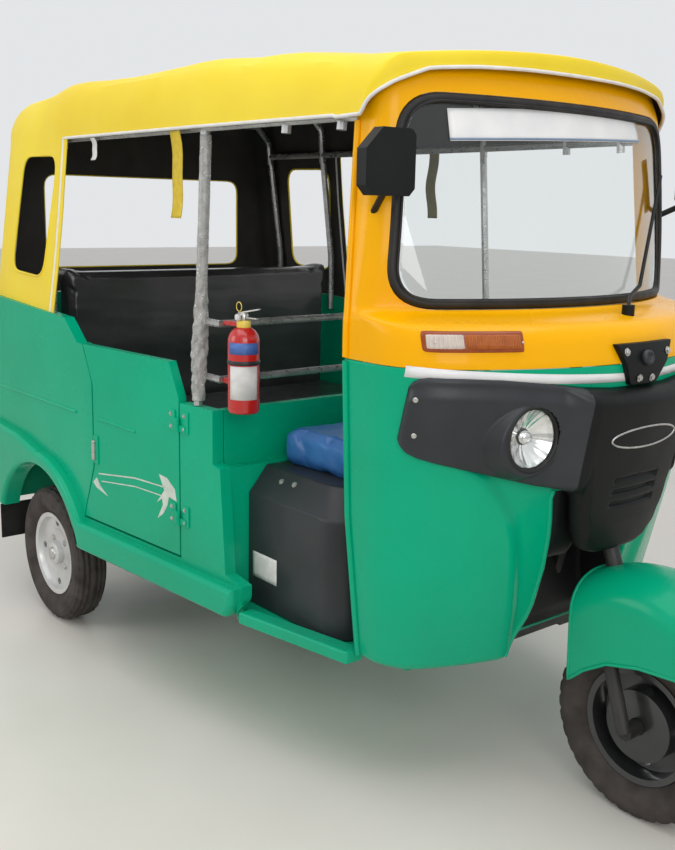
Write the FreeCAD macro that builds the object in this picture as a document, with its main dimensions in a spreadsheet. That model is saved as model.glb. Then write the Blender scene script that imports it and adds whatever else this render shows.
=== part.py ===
import FreeCAD, Part
import math
import os
import re
from types import SimpleNamespace
import Sketcher
from FreeCAD import Placement, Rotation, Vector

# Three-wheeled passenger auto rickshaw.
# Frame: +X forward, +Y to the vehicle's left, +Z up. The origin is on the ground, under the middle
# of the bounding box. All sizes are in millimetres, angles in degrees.
doc = FreeCAD.newDocument("rickshaw")
sheet = doc.addObject("Spreadsheet::Sheet", "Sizes")

# name of the size, value or expression
SIZES = (
    # wheels
    ("wheel_base", 2000), ("rear_axle_x", -925), ("front_axle_x", "=rear_axle_x+wheel_base"),
    ("rear_track", 1150), ("tyre_radius", 235), ("tyre_width", 112), ("tread_width", 84),
    ("shoulder_drop", 18), ("tyre_waist", 35), ("bead_gap", 30), ("rim_radius", 138), ("rim_lip", 7),
    ("rim_width", 84), ("rim_sheet", 4), ("barrel_wall", 8), ("disc_in", 14), ("disc_out", 22),
    ("dish_radius", 80), ("dish_deep", 5), ("hub_radius", 40), ("hub_end", 44), ("drum_radius", 88),
    ("drum_end", 40), ("stub_radius", 20), ("vent_radius", 12), ("vent_circle", 107), ("run_gap", 0.3),
    ("seat_gap", 0.3), ("move_gap", 7),
    # chassis and floor
    ("floor_z", 346), ("floor_sheet", 6), ("deck_z", "=floor_z+floor_sheet"), ("rail_tall", 60),
    ("rail_wide", 46), ("rail_spread", 230), ("cross_drop", 8), ("mid_cross_x", -640),
    ("chassis_rear_x", -1295.7), ("chassis_front_x", 640), ("floor_front_x", 690),
    ("floor_front_half", 440), ("floor_cowl_half", 470), ("head_low_z", 792), ("head_long", 176),
    ("head_wall", 12), ("brace_radius", 14), ("brace_foot_x", 620), ("brace_foot_y", 150),
    ("brace_top_z", 840), ("brace_room", 26), ("pad_x", 300), ("pad_side", 70), ("pad_drop", 22),
    # tub: half widths, bend in plan and where the panels end
    ("tub_rear_x", -1330), ("tub_bend_x", -600), ("toe_x", 189), ("tub_half", 640), ("toe_half", 580),
    ("tub_wall", 34), ("plan_slope", "=(tub_half-toe_half)/(toe_x-tub_bend_x)"), ("edge_round", 26),
    ("sill_z", 346), ("sill_tall", 92), ("flare", 34), ("toe_tall", 92), ("toe_back", 70),
    ("arch_radius", 325), ("arch_band", 48), ("skirt_z", 655), ("front_top_z", 900), ("front_top_x", 64),
    ("waist_rear_z", 1112), ("waist_front_z", 1080), ("waist_front_x", -722), ("waist_foot_x", -636),
    # doors: the hinge line and the rear edge
    ("hinge_x", -92), ("door_rear_x", -545), ("door_foot_x", -612), ("door_sill_z", 455),
    ("door_knee_z", 629), ("door_top_z", 1010), ("door_gap", 7), ("door_wall", 26),
    ("door_nose_drop", 96), ("door_nose_run", 46), ("door_tail_drop", 120), ("door_tail_run", 52),
    ("knuckle_radius", 7), ("knuckle_tall", 18), ("knuckle_out", 8), ("leaf_long", 34), ("leaf_thick", 6),
    ("hinge_low", 95), ("hinge_high", 190),
    # bulkhead and its ledge
    ("bulkhead_x", 38), ("bulkhead_wall", 26), ("bulkhead_top_z", 900), ("ledge_front_x", 96),
    ("ledge_z", 745),
    ("bulkhead_half", "=tub_half-plan_slope*(ledge_front_x-tub_bend_x)-tub_wall-seat_gap"),
    ("partition_x", 50), ("partition_radius", 10), ("partition_half", 556), ("partition_low_z", 980),
    ("partition_high_z", 1130),
    # rear: engine lid, bumper, lamps and flaps
    ("lid_low", 430), ("lid_high", 820), ("lid_half", 400), ("lid_sheet", 22), ("lid_gap", 8),
    ("bumper_z", 372), ("bumper_half", 550), ("bumper_radius", 20), ("eye_z", 338), ("eye_radius", 12),
    ("tail_in", 510), ("tail_wide", 70), ("tail_z", 560), ("tail_tall", 150), ("tail_thick", 30),
    ("flap_x", -1256), ("flap_in", 520), ("flap_wide", 150), ("flap_foot_z", 215),
    # engine and silencer
    ("engine_x", -1150), ("engine_long", 380), ("engine_z", 190), ("engine_tall", 400),
    ("can_radius", 50), ("can_x", -1225), ("can_z", 215), ("can_long", 380),
    # extinguisher
    ("bottle_x", 140), ("bottle_y", 541), ("bottle_z", 905), ("bottle_tall", 220), ("bottle_radius", 42),
    ("neck_radius", 16), ("neck_tall", 60),
    # passenger seat
    ("seat_front_x", -470), ("seat_back_x", -972), ("seat_base_z", 640), ("bench_sheet", 18),
    ("kick_sheet", 20), ("cushion_thick", 118), ("cushion_half", 552), ("backrest_half", 575),
    ("backrest_top_z", 1240), ("backrest_thick", 92),
    ("bench_half", "=tub_half-plan_slope*(seat_front_x-tub_bend_x)-tub_wall-seat_gap"),
    # driver's seat
    ("box_front_x", 500), ("box_half", 495), ("box_shoulder_z", 668), ("box_top_z", 740),
    ("box_round", 90), ("box_inset", 60), ("pad_rear_x", 104), ("pad_front_x", 470), ("pad_half", 410),
    ("pad_thick", 96),
    # cowl: height, rear edge, half width, middle of the front, radius of the front, radius of the corner
    ("cowl_foot_z", 352), ("foot_rear", 566), ("foot_half", 492), ("foot_front", 830),
    ("foot_crown", 900), ("foot_corner", 140), ("knee_z", "=(cowl_foot_z+belt_z)/2"), ("knee_rear", 576),
    ("knee_half", 545), ("knee_front", 925), ("knee_crown", 850), ("knee_corner", 200), ("belt_z", 1104),
    ("belt_rear", 580), ("belt_half", 566), ("belt_front", 985), ("belt_crown", 900),
    ("belt_corner", 200), ("shelf_z", 1192), ("shelf_rear", 580), ("shelf_half", 566),
    ("shelf_front", 966), ("shelf_crown", 900), ("shelf_corner", 190), ("sash_z", 1214),
    ("sash_rear", 578), ("sash_half", 562), ("sash_front", 835), ("sash_crown", 850), ("sash_corner", 80),
    ("brow_z", 1690), ("brow_rear", 548), ("brow_half", 515), ("brow_front", 745), ("brow_crown", 1200),
    ("brow_corner", 60), ("header_z", 1772), ("header_rear", 530), ("header_half", 500),
    ("header_front", 715), ("header_crown", 1300), ("header_corner", 60), ("cowl_wall", 22),
    ("slot_half", 163), ("slot_foot_half", 226), ("slot_bend_z", 500), ("slot_round_z", 430),
    ("slot_rear_x", 640), ("nose_foot_z", 645),
    # windscreen, in the front view
    ("screen_low_half", 522), ("screen_high_half", 488), ("screen_low_z", 1219), ("screen_high_z", 1692),
    ("screen_round", 100), ("seal_wide", 24), ("seal_proud", 5), ("seal_deep", 20), ("glass_back", 11),
    ("glass_front", 6),
    # face of the cowl
    ("mask_thick", 18), ("mask_mid_z", 1046), ("mask_end_z", 1084), ("mask_half", 556), ("lamp_x", 890),
    ("lamp_y", 306), ("lamp_z", 947), ("lamp_radius", 70), ("lamp_turn", 7), ("lamp_long", 38),
    ("lamp_ring", 10), ("swell_radius", 128), ("swell_back", 34), ("flank_half", 250), ("nose_proud", 52),
    ("nose_top_z", 1050), ("louvre_z", 770), ("louvre_step", 30), ("louvre_tall", 10),
    ("louvre_half", 75), ("louvre_deep", 18), ("blinker_in", 335), ("blinker_out", 528),
    ("blinker_low_z", 1140), ("blinker_high_z", 1186), ("blinker_thick", 12), ("plate_low_z", 1053),
    ("plate_high_z", 1150), ("plate_thick", 16), ("mirror_x", 684), ("mirror_deep", 30),
    ("mirror_in", 491), ("mirror_wide", 140), ("mirror_z", 1465), ("mirror_swing", 40),
    # steering
    ("head_x", 760), ("head_z", 1120), ("rake", 20), ("column_radius", 20), ("column_top_z", 1030),
    ("crown_z", 493), ("crown_thick", 26), ("crown_half", 112), ("crown_long", 60), ("leg_radius", 17),
    ("leg_y", 92), ("clamp_radius", 26), ("clamp_tall", 34), ("bar_radius", 13), ("bar_half", 300),
    ("bar_straight", 110), ("bar_back", 87), ("dash_x", 800), ("dash_low_z", 966), ("dash_high_z", 1000),
    ("guard_radius", 385), ("guard_half", 120), ("guard_sheet", 5), ("guard_rear", 160),
    ("guard_front", 300),
    # hood
    ("hood_rear_x", -1326), ("hood_skin", 8), ("hood_low_z", 1000), ("hood_side_z", 1640),
    ("hood_shoulder_in", 80), ("hood_shoulder_drop", 28), ("hood_nose_front", 746),
    ("hood_nose_half", 552), ("hood_nose_crown", 1300), ("hood_nose_corner", 100), ("valance_z", 1630),
    ("hem_front_z", 1754), ("entry_rear_x", -820), ("bow_radius", 12), ("post_x", -23),
    ("post_top_x", -47), ("post_y", 580), ("post_top_y", 534), ("rear_window_half", 425),
    ("rear_window_low_z", 1200), ("rear_window_high_z", 1540),
)
for row, (alias, value) in enumerate(SIZES, 1):
    sheet.set("A%d" % row, alias)
    sheet.set("B%d" % row, str(value))
    sheet.setAlias("B%d" % row, alias)
doc.recompute()
NAMES = {alias for alias, value in SIZES}
s = SimpleNamespace(**{alias: float(sheet.get(alias)) for alias in NAMES})
nodes = {}


def ref(text):
    """An expression on the sheet, from one written with the bare names of sizes."""
    return re.sub(r"[A-Za-z_]\w*", lambda m: "Sizes." + m.group() if m.group() in NAMES else m.group(),
                  str(text))


def size(text):
    """The number that an expression of named sizes gives."""
    return float(sheet.evalExpression(ref(text)))


def keep(name, feature):
    """Name a sub-part: its label is also its file's name."""
    feature.Label = name
    nodes[name] = feature
    return feature


def bind(feature, **links):
    """Tie properties to expressions; Placement_at_x stands for the placement's x."""
    for prop, text in links.items():
        feature.setExpression(prop.replace("_at_", ".Base."), ref(text))
    return feature


def block(name, length, width, height, x, y, z):
    """A box by its three sizes and its corner with the lowest coordinates."""
    box = doc.addObject("Part::Box", name)
    return bind(box, Length=length, Width=width, Height=height, Placement_at_x=x, Placement_at_y=y,
                Placement_at_z=z)


TURNS = {"x": Rotation(Vector(0, 1, 0), 90), "y": Rotation(Vector(1, 0, 0), -90), "z": Rotation()}


def rod(name, radius, length, x, y, z, along="y"):
    """A cylinder that starts at a point and runs along a positive axis."""
    bar = doc.addObject("Part::Cylinder", name)
    bar.Placement = Placement(Vector(), TURNS[along])
    return bind(bar, Radius=radius, Height=length, Placement_at_x=x, Placement_at_y=y, Placement_at_z=z)


def fuse(name, pieces):
    joined = doc.addObject("Part::MultiFuse", name)
    joined.Shapes = pieces
    joined.Refine = True
    return joined


def cut(name, base, *tools):
    rest = doc.addObject("Part::Cut", name)
    rest.Base = base
    rest.Tool = tools[0] if len(tools) == 1 else fuse(name + "_tools", list(tools))
    return rest


def mirrored(name, source):
    """The same sub-part on the other side of the vehicle."""
    other = doc.addObject("Part::Mirroring", name)
    other.Source = source
    other.Normal = Vector(0, 1, 0)
    return other


def stack(name, sides, rows, x, y, z):
    """A ring of flats along Y, through regular polygons given by radius and place along the axis."""
    rings = []
    for k, (radius, along) in enumerate(rows):
        ring = doc.addObject("Part::RegularPolygon", "%s_ring_%d" % (name, k))
        ring.Polygon = sides
        ring.Placement = Placement(Vector(), TURNS["y"])
        rings.append(bind(ring, Circumradius=radius, Placement_at_x=x,
                          Placement_at_y="(%s)+(%s)" % (y, along), Placement_at_z=z))
    loft = doc.addObject("Part::Loft", name)
    loft.Sections = rings
    loft.Solid = True
    loft.Ruled = True
    return loft


def plane_of(body, role):
    return next(f for f in body.Origin.OriginFeatures if f.Role == role)


def outline(body, role, corners, offset="0"):
    """A closed sketch of straight lines whose corners are held by expressions."""
    sketch = body.newObject("Sketcher::SketchObject", body.Name + "_outline")
    sketch.AttachmentSupport = [(plane_of(body, role), "")]
    sketch.MapMode = "FlatFace"
    sketch.setExpression("AttachmentOffset.Base.z", ref(offset))
    at = [Vector(size(u), size(v), 0) for u, v in corners]
    for k, start in enumerate(at):
        sketch.addGeometry(Part.LineSegment(start, at[(k + 1) % len(at)]), False)
    for k in range(len(at)):
        sketch.addConstraint(Sketcher.Constraint("Coincident", k, 2, (k + 1) % len(at), 1))
    for k, (u, v) in enumerate(corners):
        for kind, text in (("DistanceX", u), ("DistanceY", v)):
            number = sketch.addConstraint(Sketcher.Constraint(kind, -1, 1, k, 1, size(text)))
            sketch.setExpression("Constraints[%d]" % number, ref(text))
    return sketch


def pad(name, role, corners, offset, depth):
    """A flat outline thickened. On XZ the sketch faces -Y, so the offset counts towards -Y."""
    body = doc.addObject("PartDesign::Body", name)
    sketch = outline(body, role, corners, offset)
    feature = body.newObject("PartDesign::Pad", name + "_pad")
    feature.Profile = sketch
    feature.setExpression("Length", ref(depth))
    return body


def solid(name, shape):
    """A shape made with the kernel's own functions, from sizes read from the sheet."""
    feature = doc.addObject("Part::Feature", name)
    feature.Shape = shape
    return feature


def prism(points, push):
    """A closed outline of points, pushed along a vector."""
    return Part.Face(Part.makePolygon(points + points[:1])).extrude(push)


def side_prism(points, reach=800, y=-800):
    """An outline in side view, made into a prism across the vehicle."""
    return prism([Vector(x, y, z) for x, z in points], Vector(0, reach, 0))


def front_prism(points, x=500, reach=800):
    """An outline in front view, made into a prism along the vehicle."""
    return prism([Vector(x, y, z) for y, z in points], Vector(reach, 0, 0))


def both(half):
    """Points of the right half of an outline, then the same points mirrored, in order."""
    return half + [(-a, b) for a, b in reversed(half)]


TUBE_SIDES = 8


def tube(points, radius):
    """An eight-sided tube through points, mitred where it bends."""
    path = [Vector(*p) for p in points]
    ahead = (path[1] - path[0]).normalize()
    across = ahead.cross(Vector(0, 1, 0) if abs(ahead.y) < 0.9 else Vector(0, 0, 1)).normalize()
    ring = [path[0] + Rotation(ahead, 360 * (k + 0.5) / TUBE_SIDES).multVec(across) * radius
            for k in range(TUBE_SIDES)]
    sweep = Part.BRepOffsetAPI.MakePipeShell(Part.makePolygon(path))
    sweep.setTransitionMode(1)
    sweep.add(Part.makePolygon(ring + ring[:1]))
    sweep.build()
    sweep.makeSolid()
    return sweep.shape()


def join(shapes):
    return shapes[0].multiFuse(shapes[1:])


def arc(mid, radius, start, end, steps):
    """Points on a circle seen from above, without the last one; angles in radians."""
    turns = [start + (end - start) * k / steps for k in range(steps)]
    return [(mid[0] + radius * math.cos(t), mid[1] + radius * math.sin(t)) for t in turns]


# Cowl: the outline in plan at one height runs from the rear edge along the side, round a corner
# and across a gently curved front. Flats stand in for the two radii.
CORNER_STEPS, CROWN_STEPS = 5, 10


def cowl_plan(rear, half, front, crown, corner):
    crown_mid = front - crown
    reach = math.sqrt((crown - corner) ** 2 - (half - corner) ** 2)
    turn = math.atan2(half - corner, reach)
    bend = arc((crown_mid + reach, corner - half), corner, -math.pi / 2, -turn, CORNER_STEPS)
    right = [(rear, -half)] + bend
    middle = arc((crown_mid, 0), crown, -turn, turn, CROWN_STEPS)
    return right + middle + [(x, -y) for x, y in [middle[0]] + right[:0:-1] + right[:1]]


def cowl_rows(names):
    """The rows of the sheet for the named heights of the cowl."""
    parts = ("z", "rear", "half", "front", "crown", "corner")
    return [[getattr(s, "%s_%s" % (name, part)) for part in parts] for name in names]


LEG, SCUTTLE = cowl_rows(["knee", "belt"]), cowl_rows(["belt", "shelf", "sash"])
LEG.insert(0, [s.cowl_foot_z, s.foot_rear, s.foot_half, s.foot_front, s.foot_crown, s.foot_corner])
SCREEN = cowl_rows(["sash", "brow", "header"])


def cowl_body(rows, grow=0.0, rear_grow=0.0):
    wires = []
    for z, rear, half, front, crown, corner in rows:
        plan = cowl_plan(rear - rear_grow, half + grow, front + grow, crown + grow, corner + grow)
        at = [Vector(x, y, z) for x, y in plan]
        wires.append(Part.makePolygon(at + at[:1]))
    return Part.makeLoft(wires, True, True)


def cowl_shell(rows, outside, inside):
    """The wall between two offsets of the cowl's outside."""
    return cowl_body(rows, outside).cut(cowl_body(rows, inside, 60))


axle = Vector(s.front_axle_x, 0, s.tyre_radius)
rake = math.radians(s.rake)
lean = Vector(-math.sin(rake), 0, math.cos(rake))


def on_column(z):
    """The point of the steering axis at a height."""
    return Vector(s.head_x + (s.head_z - z) * math.tan(rake), 0, z)


column_room = Part.makeCylinder(s.column_radius + s.move_gap, 900, on_column(400), lean)
slot = front_prism(both([(-s.slot_half, s.nose_foot_z), (-s.slot_half, s.slot_bend_z),
                         (-s.slot_half - 22, s.slot_round_z), (-s.slot_foot_half, s.cowl_foot_z - 20)]),
                   s.slot_rear_x, 700)
leg_shell = cowl_shell(LEG, 0, -s.cowl_wall)
keep("cowl_lower", solid("cowl_lower", leg_shell.cut([slot, column_room])))


def screen_area(grow):
    """A prism along X whose front view is the windscreen's rounded outline, grown by some margin."""
    low, high, radius = s.screen_low_half + grow, s.screen_high_half + grow, s.screen_round + grow
    low_z, high_z = s.screen_low_z - grow, s.screen_high_z + grow
    right = arc((-low + radius, low_z + radius), radius, -math.pi / 2, -math.pi, 5)[:5]
    right += [(-low, low_z + radius)]
    right += arc((-high + radius, high_z - radius), radius, math.pi, math.pi / 2, 5)
    return front_prism(both(right + [(-high + radius, high_z)]), 300, 900)


SEAT = s.seat_gap
seal_ring = screen_area(-SEAT).cut(screen_area(-s.seal_wide))
seal = cowl_shell(SCREEN, s.seal_proud, -s.seal_deep).common(seal_ring)
keep("windscreen_seal", solid("windscreen_seal", seal))
pane = cowl_shell(SCREEN, -s.glass_front, -s.glass_back).common(screen_area(-s.seal_wide - SEAT))
keep("windscreen_glass", solid("windscreen_glass", pane))

# Chassis: two box rails, cross members and the steering head.
rails = [block("rail_%s" % side, "chassis_front_x-chassis_rear_x", "rail_wide", "rail_tall",
               "chassis_rear_x", "%s-rail_wide/2" % y, "floor_z-rail_tall")
         for side, y in (("right", "-rail_spread"), ("left", "rail_spread"))]
CROSSES = ("chassis_rear_x", "mid_cross_x", "bulkhead_x-rail_wide", "chassis_front_x-rail_wide")
crosses = [block("cross_%d" % k, "rail_wide", "2*rail_spread", "rail_tall-2*cross_drop", x, "-rail_spread",
                 "floor_z-rail_tall+cross_drop") for k, x in enumerate(CROSSES)]
jack_pads = [block("jack_pad_%d" % k, "pad_side", "rail_wide", "pad_drop", "pad_x", y,
                   "floor_z-rail_tall-pad_drop")
             for k, y in enumerate(("-rail_spread-rail_wide/2", "rail_spread-rail_wide/2"))]
head_tube = Part.makeCylinder(s.column_radius + s.head_wall, s.head_long, on_column(s.head_low_z), lean)
head_bore = Part.makeCylinder(s.column_radius + s.run_gap, 900, on_column(500), lean)
brace_top = on_column(s.brace_top_z)
braces = [tube([(brace_top.x - 16, side * 12, brace_top.z),
                (s.brace_foot_x, side * s.brace_foot_y, s.floor_z - 16)], s.brace_radius)
          for side in (-1, 1)]
head_frame = solid("head_frame", join([head_tube] + braces).cut(head_bore))
keep("chassis_frame", fuse("chassis_frame", rails + crosses + jack_pads + [head_frame]))

FLOOR = (("seat_front_x-kick_sheet-1", "bench_half"), ("toe_x", "toe_half-tub_wall-seat_gap"),
         ("foot_rear+14", "floor_cowl_half"), ("floor_front_x", "floor_front_half"))
floor_corners = [(x, "-(%s)" % y) for x, y in FLOOR] + [(x, y) for x, y in reversed(FLOOR)]
brace_holes = [Part.makeBox(2 * s.brace_room, 2 * s.brace_room, 40) for side in (-1, 1)]
for side, hole in zip((-1, 1), brace_holes):
    hole.translate(Vector(s.brace_foot_x + 8, side * (s.brace_foot_y - 5), s.floor_z - 20) -
                   Vector(s.brace_room, s.brace_room, 0))
brace_holes = Part.makeCompound(brace_holes)
floor_blank = pad("floor_blank", "XY_Plane", floor_corners, "floor_z", "floor_sheet")
keep("floor_pan", cut("floor_pan", floor_blank, solid("brace_holes", brace_holes)))

# Bulkhead behind the driver: an upright sheet with a boxed ledge at its foot.
bulk_sheet = block("bulkhead_sheet", "bulkhead_wall", "2*bulkhead_half", "bulkhead_top_z-deck_z-seat_gap",
                   "bulkhead_x", "-bulkhead_half", "deck_z+seat_gap")
bulk_ledge = block("bulkhead_ledge", "ledge_front_x-bulkhead_x", "2*bulkhead_half",
                   "ledge_z-deck_z-seat_gap", "bulkhead_x", "-bulkhead_half", "deck_z+seat_gap")
keep("bulkhead", fuse("bulkhead", [bulk_sheet, bulk_ledge]))


def wall_half(x):
    """Half width of the tub's outside at a place along the vehicle."""
    return s.tub_half - s.plan_slope * max(0.0, x - s.tub_bend_x)


# Tub sides: the wall with its wheel arch and door opening, and the flared band along its foot.
def side_wall(grow=0.0, thick=s.tub_wall):
    """The right side's wall, one strip bent in plan, moved outwards and as thick as asked."""
    line = [(x, wall_half(x) + grow) for x in (s.tub_rear_x, s.tub_bend_x, s.toe_x)]
    plan = [Vector(x, -y, s.sill_z) for x, y in line]
    plan += [Vector(x, thick - y, s.sill_z) for x, y in reversed(line)]
    return prism(plan, Vector(0, 0, s.waist_rear_z + 60 - s.sill_z))


def door_points(grow):
    """The door's side view: hinge edge, rounded top and a rear edge that follows the wheel arch."""
    hinge, rear, foot = s.hinge_x + grow, s.door_rear_x - grow, s.door_foot_x - grow
    low, top = s.door_sill_z - grow, s.door_top_z + grow
    return [(hinge, low), (hinge, top - s.door_nose_drop), (hinge - s.door_nose_run, top),
            (rear - s.door_tail_run, top), (rear, top - s.door_tail_drop), (rear, s.door_knee_z),
            (foot, low)]


arch = Part.makeCylinder(s.arch_radius, 300, Vector(s.rear_axle_x, -800, s.tyre_radius), Vector(0, 1, 0))
side_view = [(s.tub_rear_x, s.sill_z), (s.toe_x - 34, s.sill_z), (s.toe_x, s.sill_z + 44),
             (s.toe_x, s.sill_z + s.toe_tall), (s.toe_x - s.toe_back, s.sill_z + s.toe_tall + 16),
             (s.ledge_front_x, s.ledge_z), (s.front_top_x, s.ledge_z + 8), (s.front_top_x, s.front_top_z),
             (s.hinge_x, s.front_top_z), (s.hinge_x, s.door_top_z), (s.waist_foot_x, s.door_top_z),
             (s.waist_front_x, s.waist_front_z), (s.tub_rear_x, s.waist_rear_z)]
hole = door_points(s.door_gap)
door_hole = side_prism([hole[0], (hole[0][0], 1400), (hole[4][0] - s.door_tail_run, 1400), hole[3], hole[4],
                        hole[5], hole[6]], 400)
bands = [side_prism([(s.tub_rear_x, s.sill_z), (s.rear_axle_x, s.sill_z), (s.rear_axle_x, s.skirt_z - 46),
                     (s.rear_axle_x - 160, s.skirt_z - 14), (s.tub_rear_x, s.skirt_z)], 400),
         side_prism([(s.rear_axle_x, s.sill_z), (s.toe_x - 34, s.sill_z), (s.toe_x - 6, s.sill_z + 36),
                     (s.toe_x - 6, s.sill_z + s.sill_tall - 6), (s.rear_axle_x, s.sill_z + s.sill_tall)],
                     400),
         Part.makeCylinder(s.arch_radius + s.arch_band, 400, arch.BoundBox.Center - Vector(0, 200, 0),
                           Vector(0, 1, 0))]
wall_right = side_wall().common(side_prism(side_view, 400))
flare_strip = side_wall(s.flare, s.flare + 4).common(join(bands))
tub_right = wall_right.cut(door_hole).fuse(flare_strip).cut(arch)


def door_slab():
    """One half door: as thick as its outer and inner skins together."""
    return side_wall(0, s.door_wall).common(side_prism(door_points(0), 400))


def door_hinges(on_door):
    """Knuckles on the hinge line, outside the wall: the door's above, the body's below."""
    at_x = s.hinge_x + s.door_gap / 2
    at_y = -wall_half(at_x) - s.knuckle_out
    leaf_skin = side_wall(s.leaf_thick, s.leaf_thick)
    pieces = []
    for z in (s.door_sill_z + s.hinge_low, s.door_top_z - s.hinge_high):
        low = z + s.knuckle_tall + s.run_gap if on_door else z
        pieces.append(Part.makeCylinder(s.knuckle_radius, s.knuckle_tall, Vector(at_x, at_y, low)))
        leaf_x = at_x - s.leaf_long if on_door else at_x
        pieces.append(leaf_skin.common(Part.makeBox(s.leaf_long, 400, s.knuckle_tall,
                                                    Vector(leaf_x, -900, low))))
    return pieces


keep("door_right", solid("door_right", join([door_slab()] + door_hinges(True))))
keep("door_left", mirrored("door_left", nodes["door_right"]))
keep("tub_side_right", solid("tub_side_right", join([tub_right] + door_hinges(False))))
keep("tub_side_left", mirrored("tub_side_left", nodes["tub_side_right"]))

# Rear panel with the engine lid hung above its opening, and the bumper below it.
REAR_HALF = "tub_half-tub_wall-seat_gap"
LID = {part: getattr(s, "lid_" + part) for part in ("low", "high", "half", "sheet", "gap")}
back = block("back_sheet", "tub_wall", "2*(%s)" % REAR_HALF, "waist_rear_z-deck_z-1", "tub_rear_x",
             "-(%s)" % REAR_HALF, "deck_z")
back_hole = block("lid_hole", "100", 2 * LID["half"] + 2 * LID["gap"],
                  LID["high"] - LID["low"] + 2 * LID["gap"],
                  "tub_rear_x-20", -LID["half"] - LID["gap"], LID["low"] - LID["gap"])


def lid_hinges(on_lid):
    """Knuckles on the lid's axis, with leaves down onto the lid or up onto the panel."""
    pieces = []
    for side in (-1, 1):
        for start in ((250,) if on_lid else (200, 300)):
            y = str(side * (start + 25) - 24.85)
            tag = "%s_%d_%d" % ("lid" if on_lid else "panel", side + 1, start)
            leaf_z = LID["high"] - 16 if on_lid else LID["high"] + 8
            pieces += [rod("knuckle_" + tag, 7, 49.7, "tub_rear_x-8", y, LID["high"] + 8),
                       block("leaf_" + tag, 12, 49.7, 24, "tub_rear_x-8", y, leaf_z)]
    return pieces


keep("rear_panel", fuse("rear_panel", [cut("panel_sheet", back, back_hole)] + lid_hinges(False)))
lid_sheet = block("lid_sheet", LID["sheet"], 2 * LID["half"], LID["high"] - LID["low"], "tub_rear_x-2",
                  -LID["half"], LID["low"])
keep("engine_lid", fuse("engine_lid", [lid_sheet] + lid_hinges(True)))
bumper = rod("bumper_bar", "bumper_radius", "2*bumper_half", "tub_rear_x-bumper_radius-5", "-bumper_half",
             "bumper_z")
stays = [block("bumper_stay_%d" % k, 20, 30, 36, "tub_rear_x-20.3", y, "bumper_z-18")
         for k, y in enumerate((-260, 230))]
eye = cut("tow_eye", block("eye_plate", 12, 60, 60, "tub_rear_x-25", -30, "eye_z-20"),
          rod("eye_bore", "eye_radius", 60, "tub_rear_x-50", 0, "eye_z", "x"))
keep("rear_bumper", fuse("rear_bumper", [bumper, eye] + stays))
lamps = [block("tail_lamp_%d" % k, "tail_thick", "tail_wide", "tail_tall",
               "tub_rear_x-tail_thick-seat_gap", y, "tail_z")
         for k, y in enumerate(("-tail_in-tail_wide", "tail_in"))]
keep("tail_lamps", fuse("tail_lamps", lamps))

# Passenger bench over the engine, and the luggage floor behind it.
bench = block("bench", "seat_front_x-tub_rear_x-tub_wall-seat_gap", "2*bench_half", "bench_sheet",
              "tub_rear_x+tub_wall+seat_gap", "-bench_half", "seat_base_z-bench_sheet")
kick = block("bench_kick", "kick_sheet", "2*bench_half", "seat_base_z-deck_z-seat_gap",
             "seat_front_x-kick_sheet", "-bench_half", "deck_z+seat_gap")
keep("seat_base", fuse("seat_base", [bench, kick]))
keep("seat_cushion", block("seat_cushion", "seat_front_x-seat_back_x-backrest_thick-seat_gap",
                           "2*cushion_half", "cushion_thick", "seat_back_x+backrest_thick+seat_gap",
                           "-cushion_half", "seat_base_z+seat_gap"))
keep("seat_backrest", block("seat_backrest", "backrest_thick", "2*backrest_half",
                            "backrest_top_z-seat_base_z", "seat_back_x", "-backrest_half",
                            "seat_base_z+seat_gap"))


# Driver's seat on its moulded box: round front corners and a top that slopes in on three sides.
def box_ring(z, inset):
    front, half = s.box_front_x - inset, s.box_half - inset
    start, low = s.ledge_front_x + SEAT, s.box_round
    bend = arc((front - low, low - half), low, -math.pi / 2, 0, 5)
    right = [(start, -half)] + bend + [(front, low - half)]
    at = [Vector(x, y, z) for x, y in right + [(x, -y) for x, y in reversed(right)]]
    return Part.makePolygon(at + at[:1])


DECK = s.deck_z + SEAT
box_rings = [box_ring(DECK, 0), box_ring(s.box_shoulder_z, 0), box_ring(s.box_top_z, s.box_inset)]
box_shape = Part.makeLoft(box_rings, True, True)
keep("underseat_box", solid("underseat_box", box_shape))
keep("driver_cushion", block("driver_cushion", "pad_front_x-pad_rear_x", "2*pad_half", "pad_thick",
                             "pad_rear_x", "-pad_half", "box_top_z+seat_gap"))
STEP = (("toe_x+seat_gap", "toe_half-tub_wall"), ("toe_x+seat_gap", "toe_half+12"),
        ("foot_rear-seat_gap", "floor_cowl_half+56"), ("foot_rear-seat_gap", "floor_cowl_half+3.4"))
step_right = pad("step_right", "XY_Plane", [(x, "-(%s)" % y) for x, y in STEP], "floor_z-8", "34")
keep("step_rails", fuse("step_rails", [step_right, mirrored("step_left", step_right)]))

# Engine as one plain block at its real place, hung from the rails, and its silencer.
engine = [block("engine_case", "engine_long", "engine_long", "engine_tall", "engine_x", "-engine_long/2",
                "engine_z"),
          block("engine_lugs", 60, "2*rail_spread-rail_wide-2*seat_gap", 36, "engine_x+150",
                "-rail_spread+rail_wide/2+seat_gap", "floor_z-rail_tall+8")]
keep("engine_block", fuse("engine_block", engine))
muffler = [rod("muffler_can", "can_radius", "can_long", "can_x", "-can_long/2", "can_z"),
           block("muffler_pipe", "engine_x-can_x-seat_gap", 40, 40, "can_x", -60, "can_z-10")]
keep("silencer", fuse("silencer", muffler))

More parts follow.
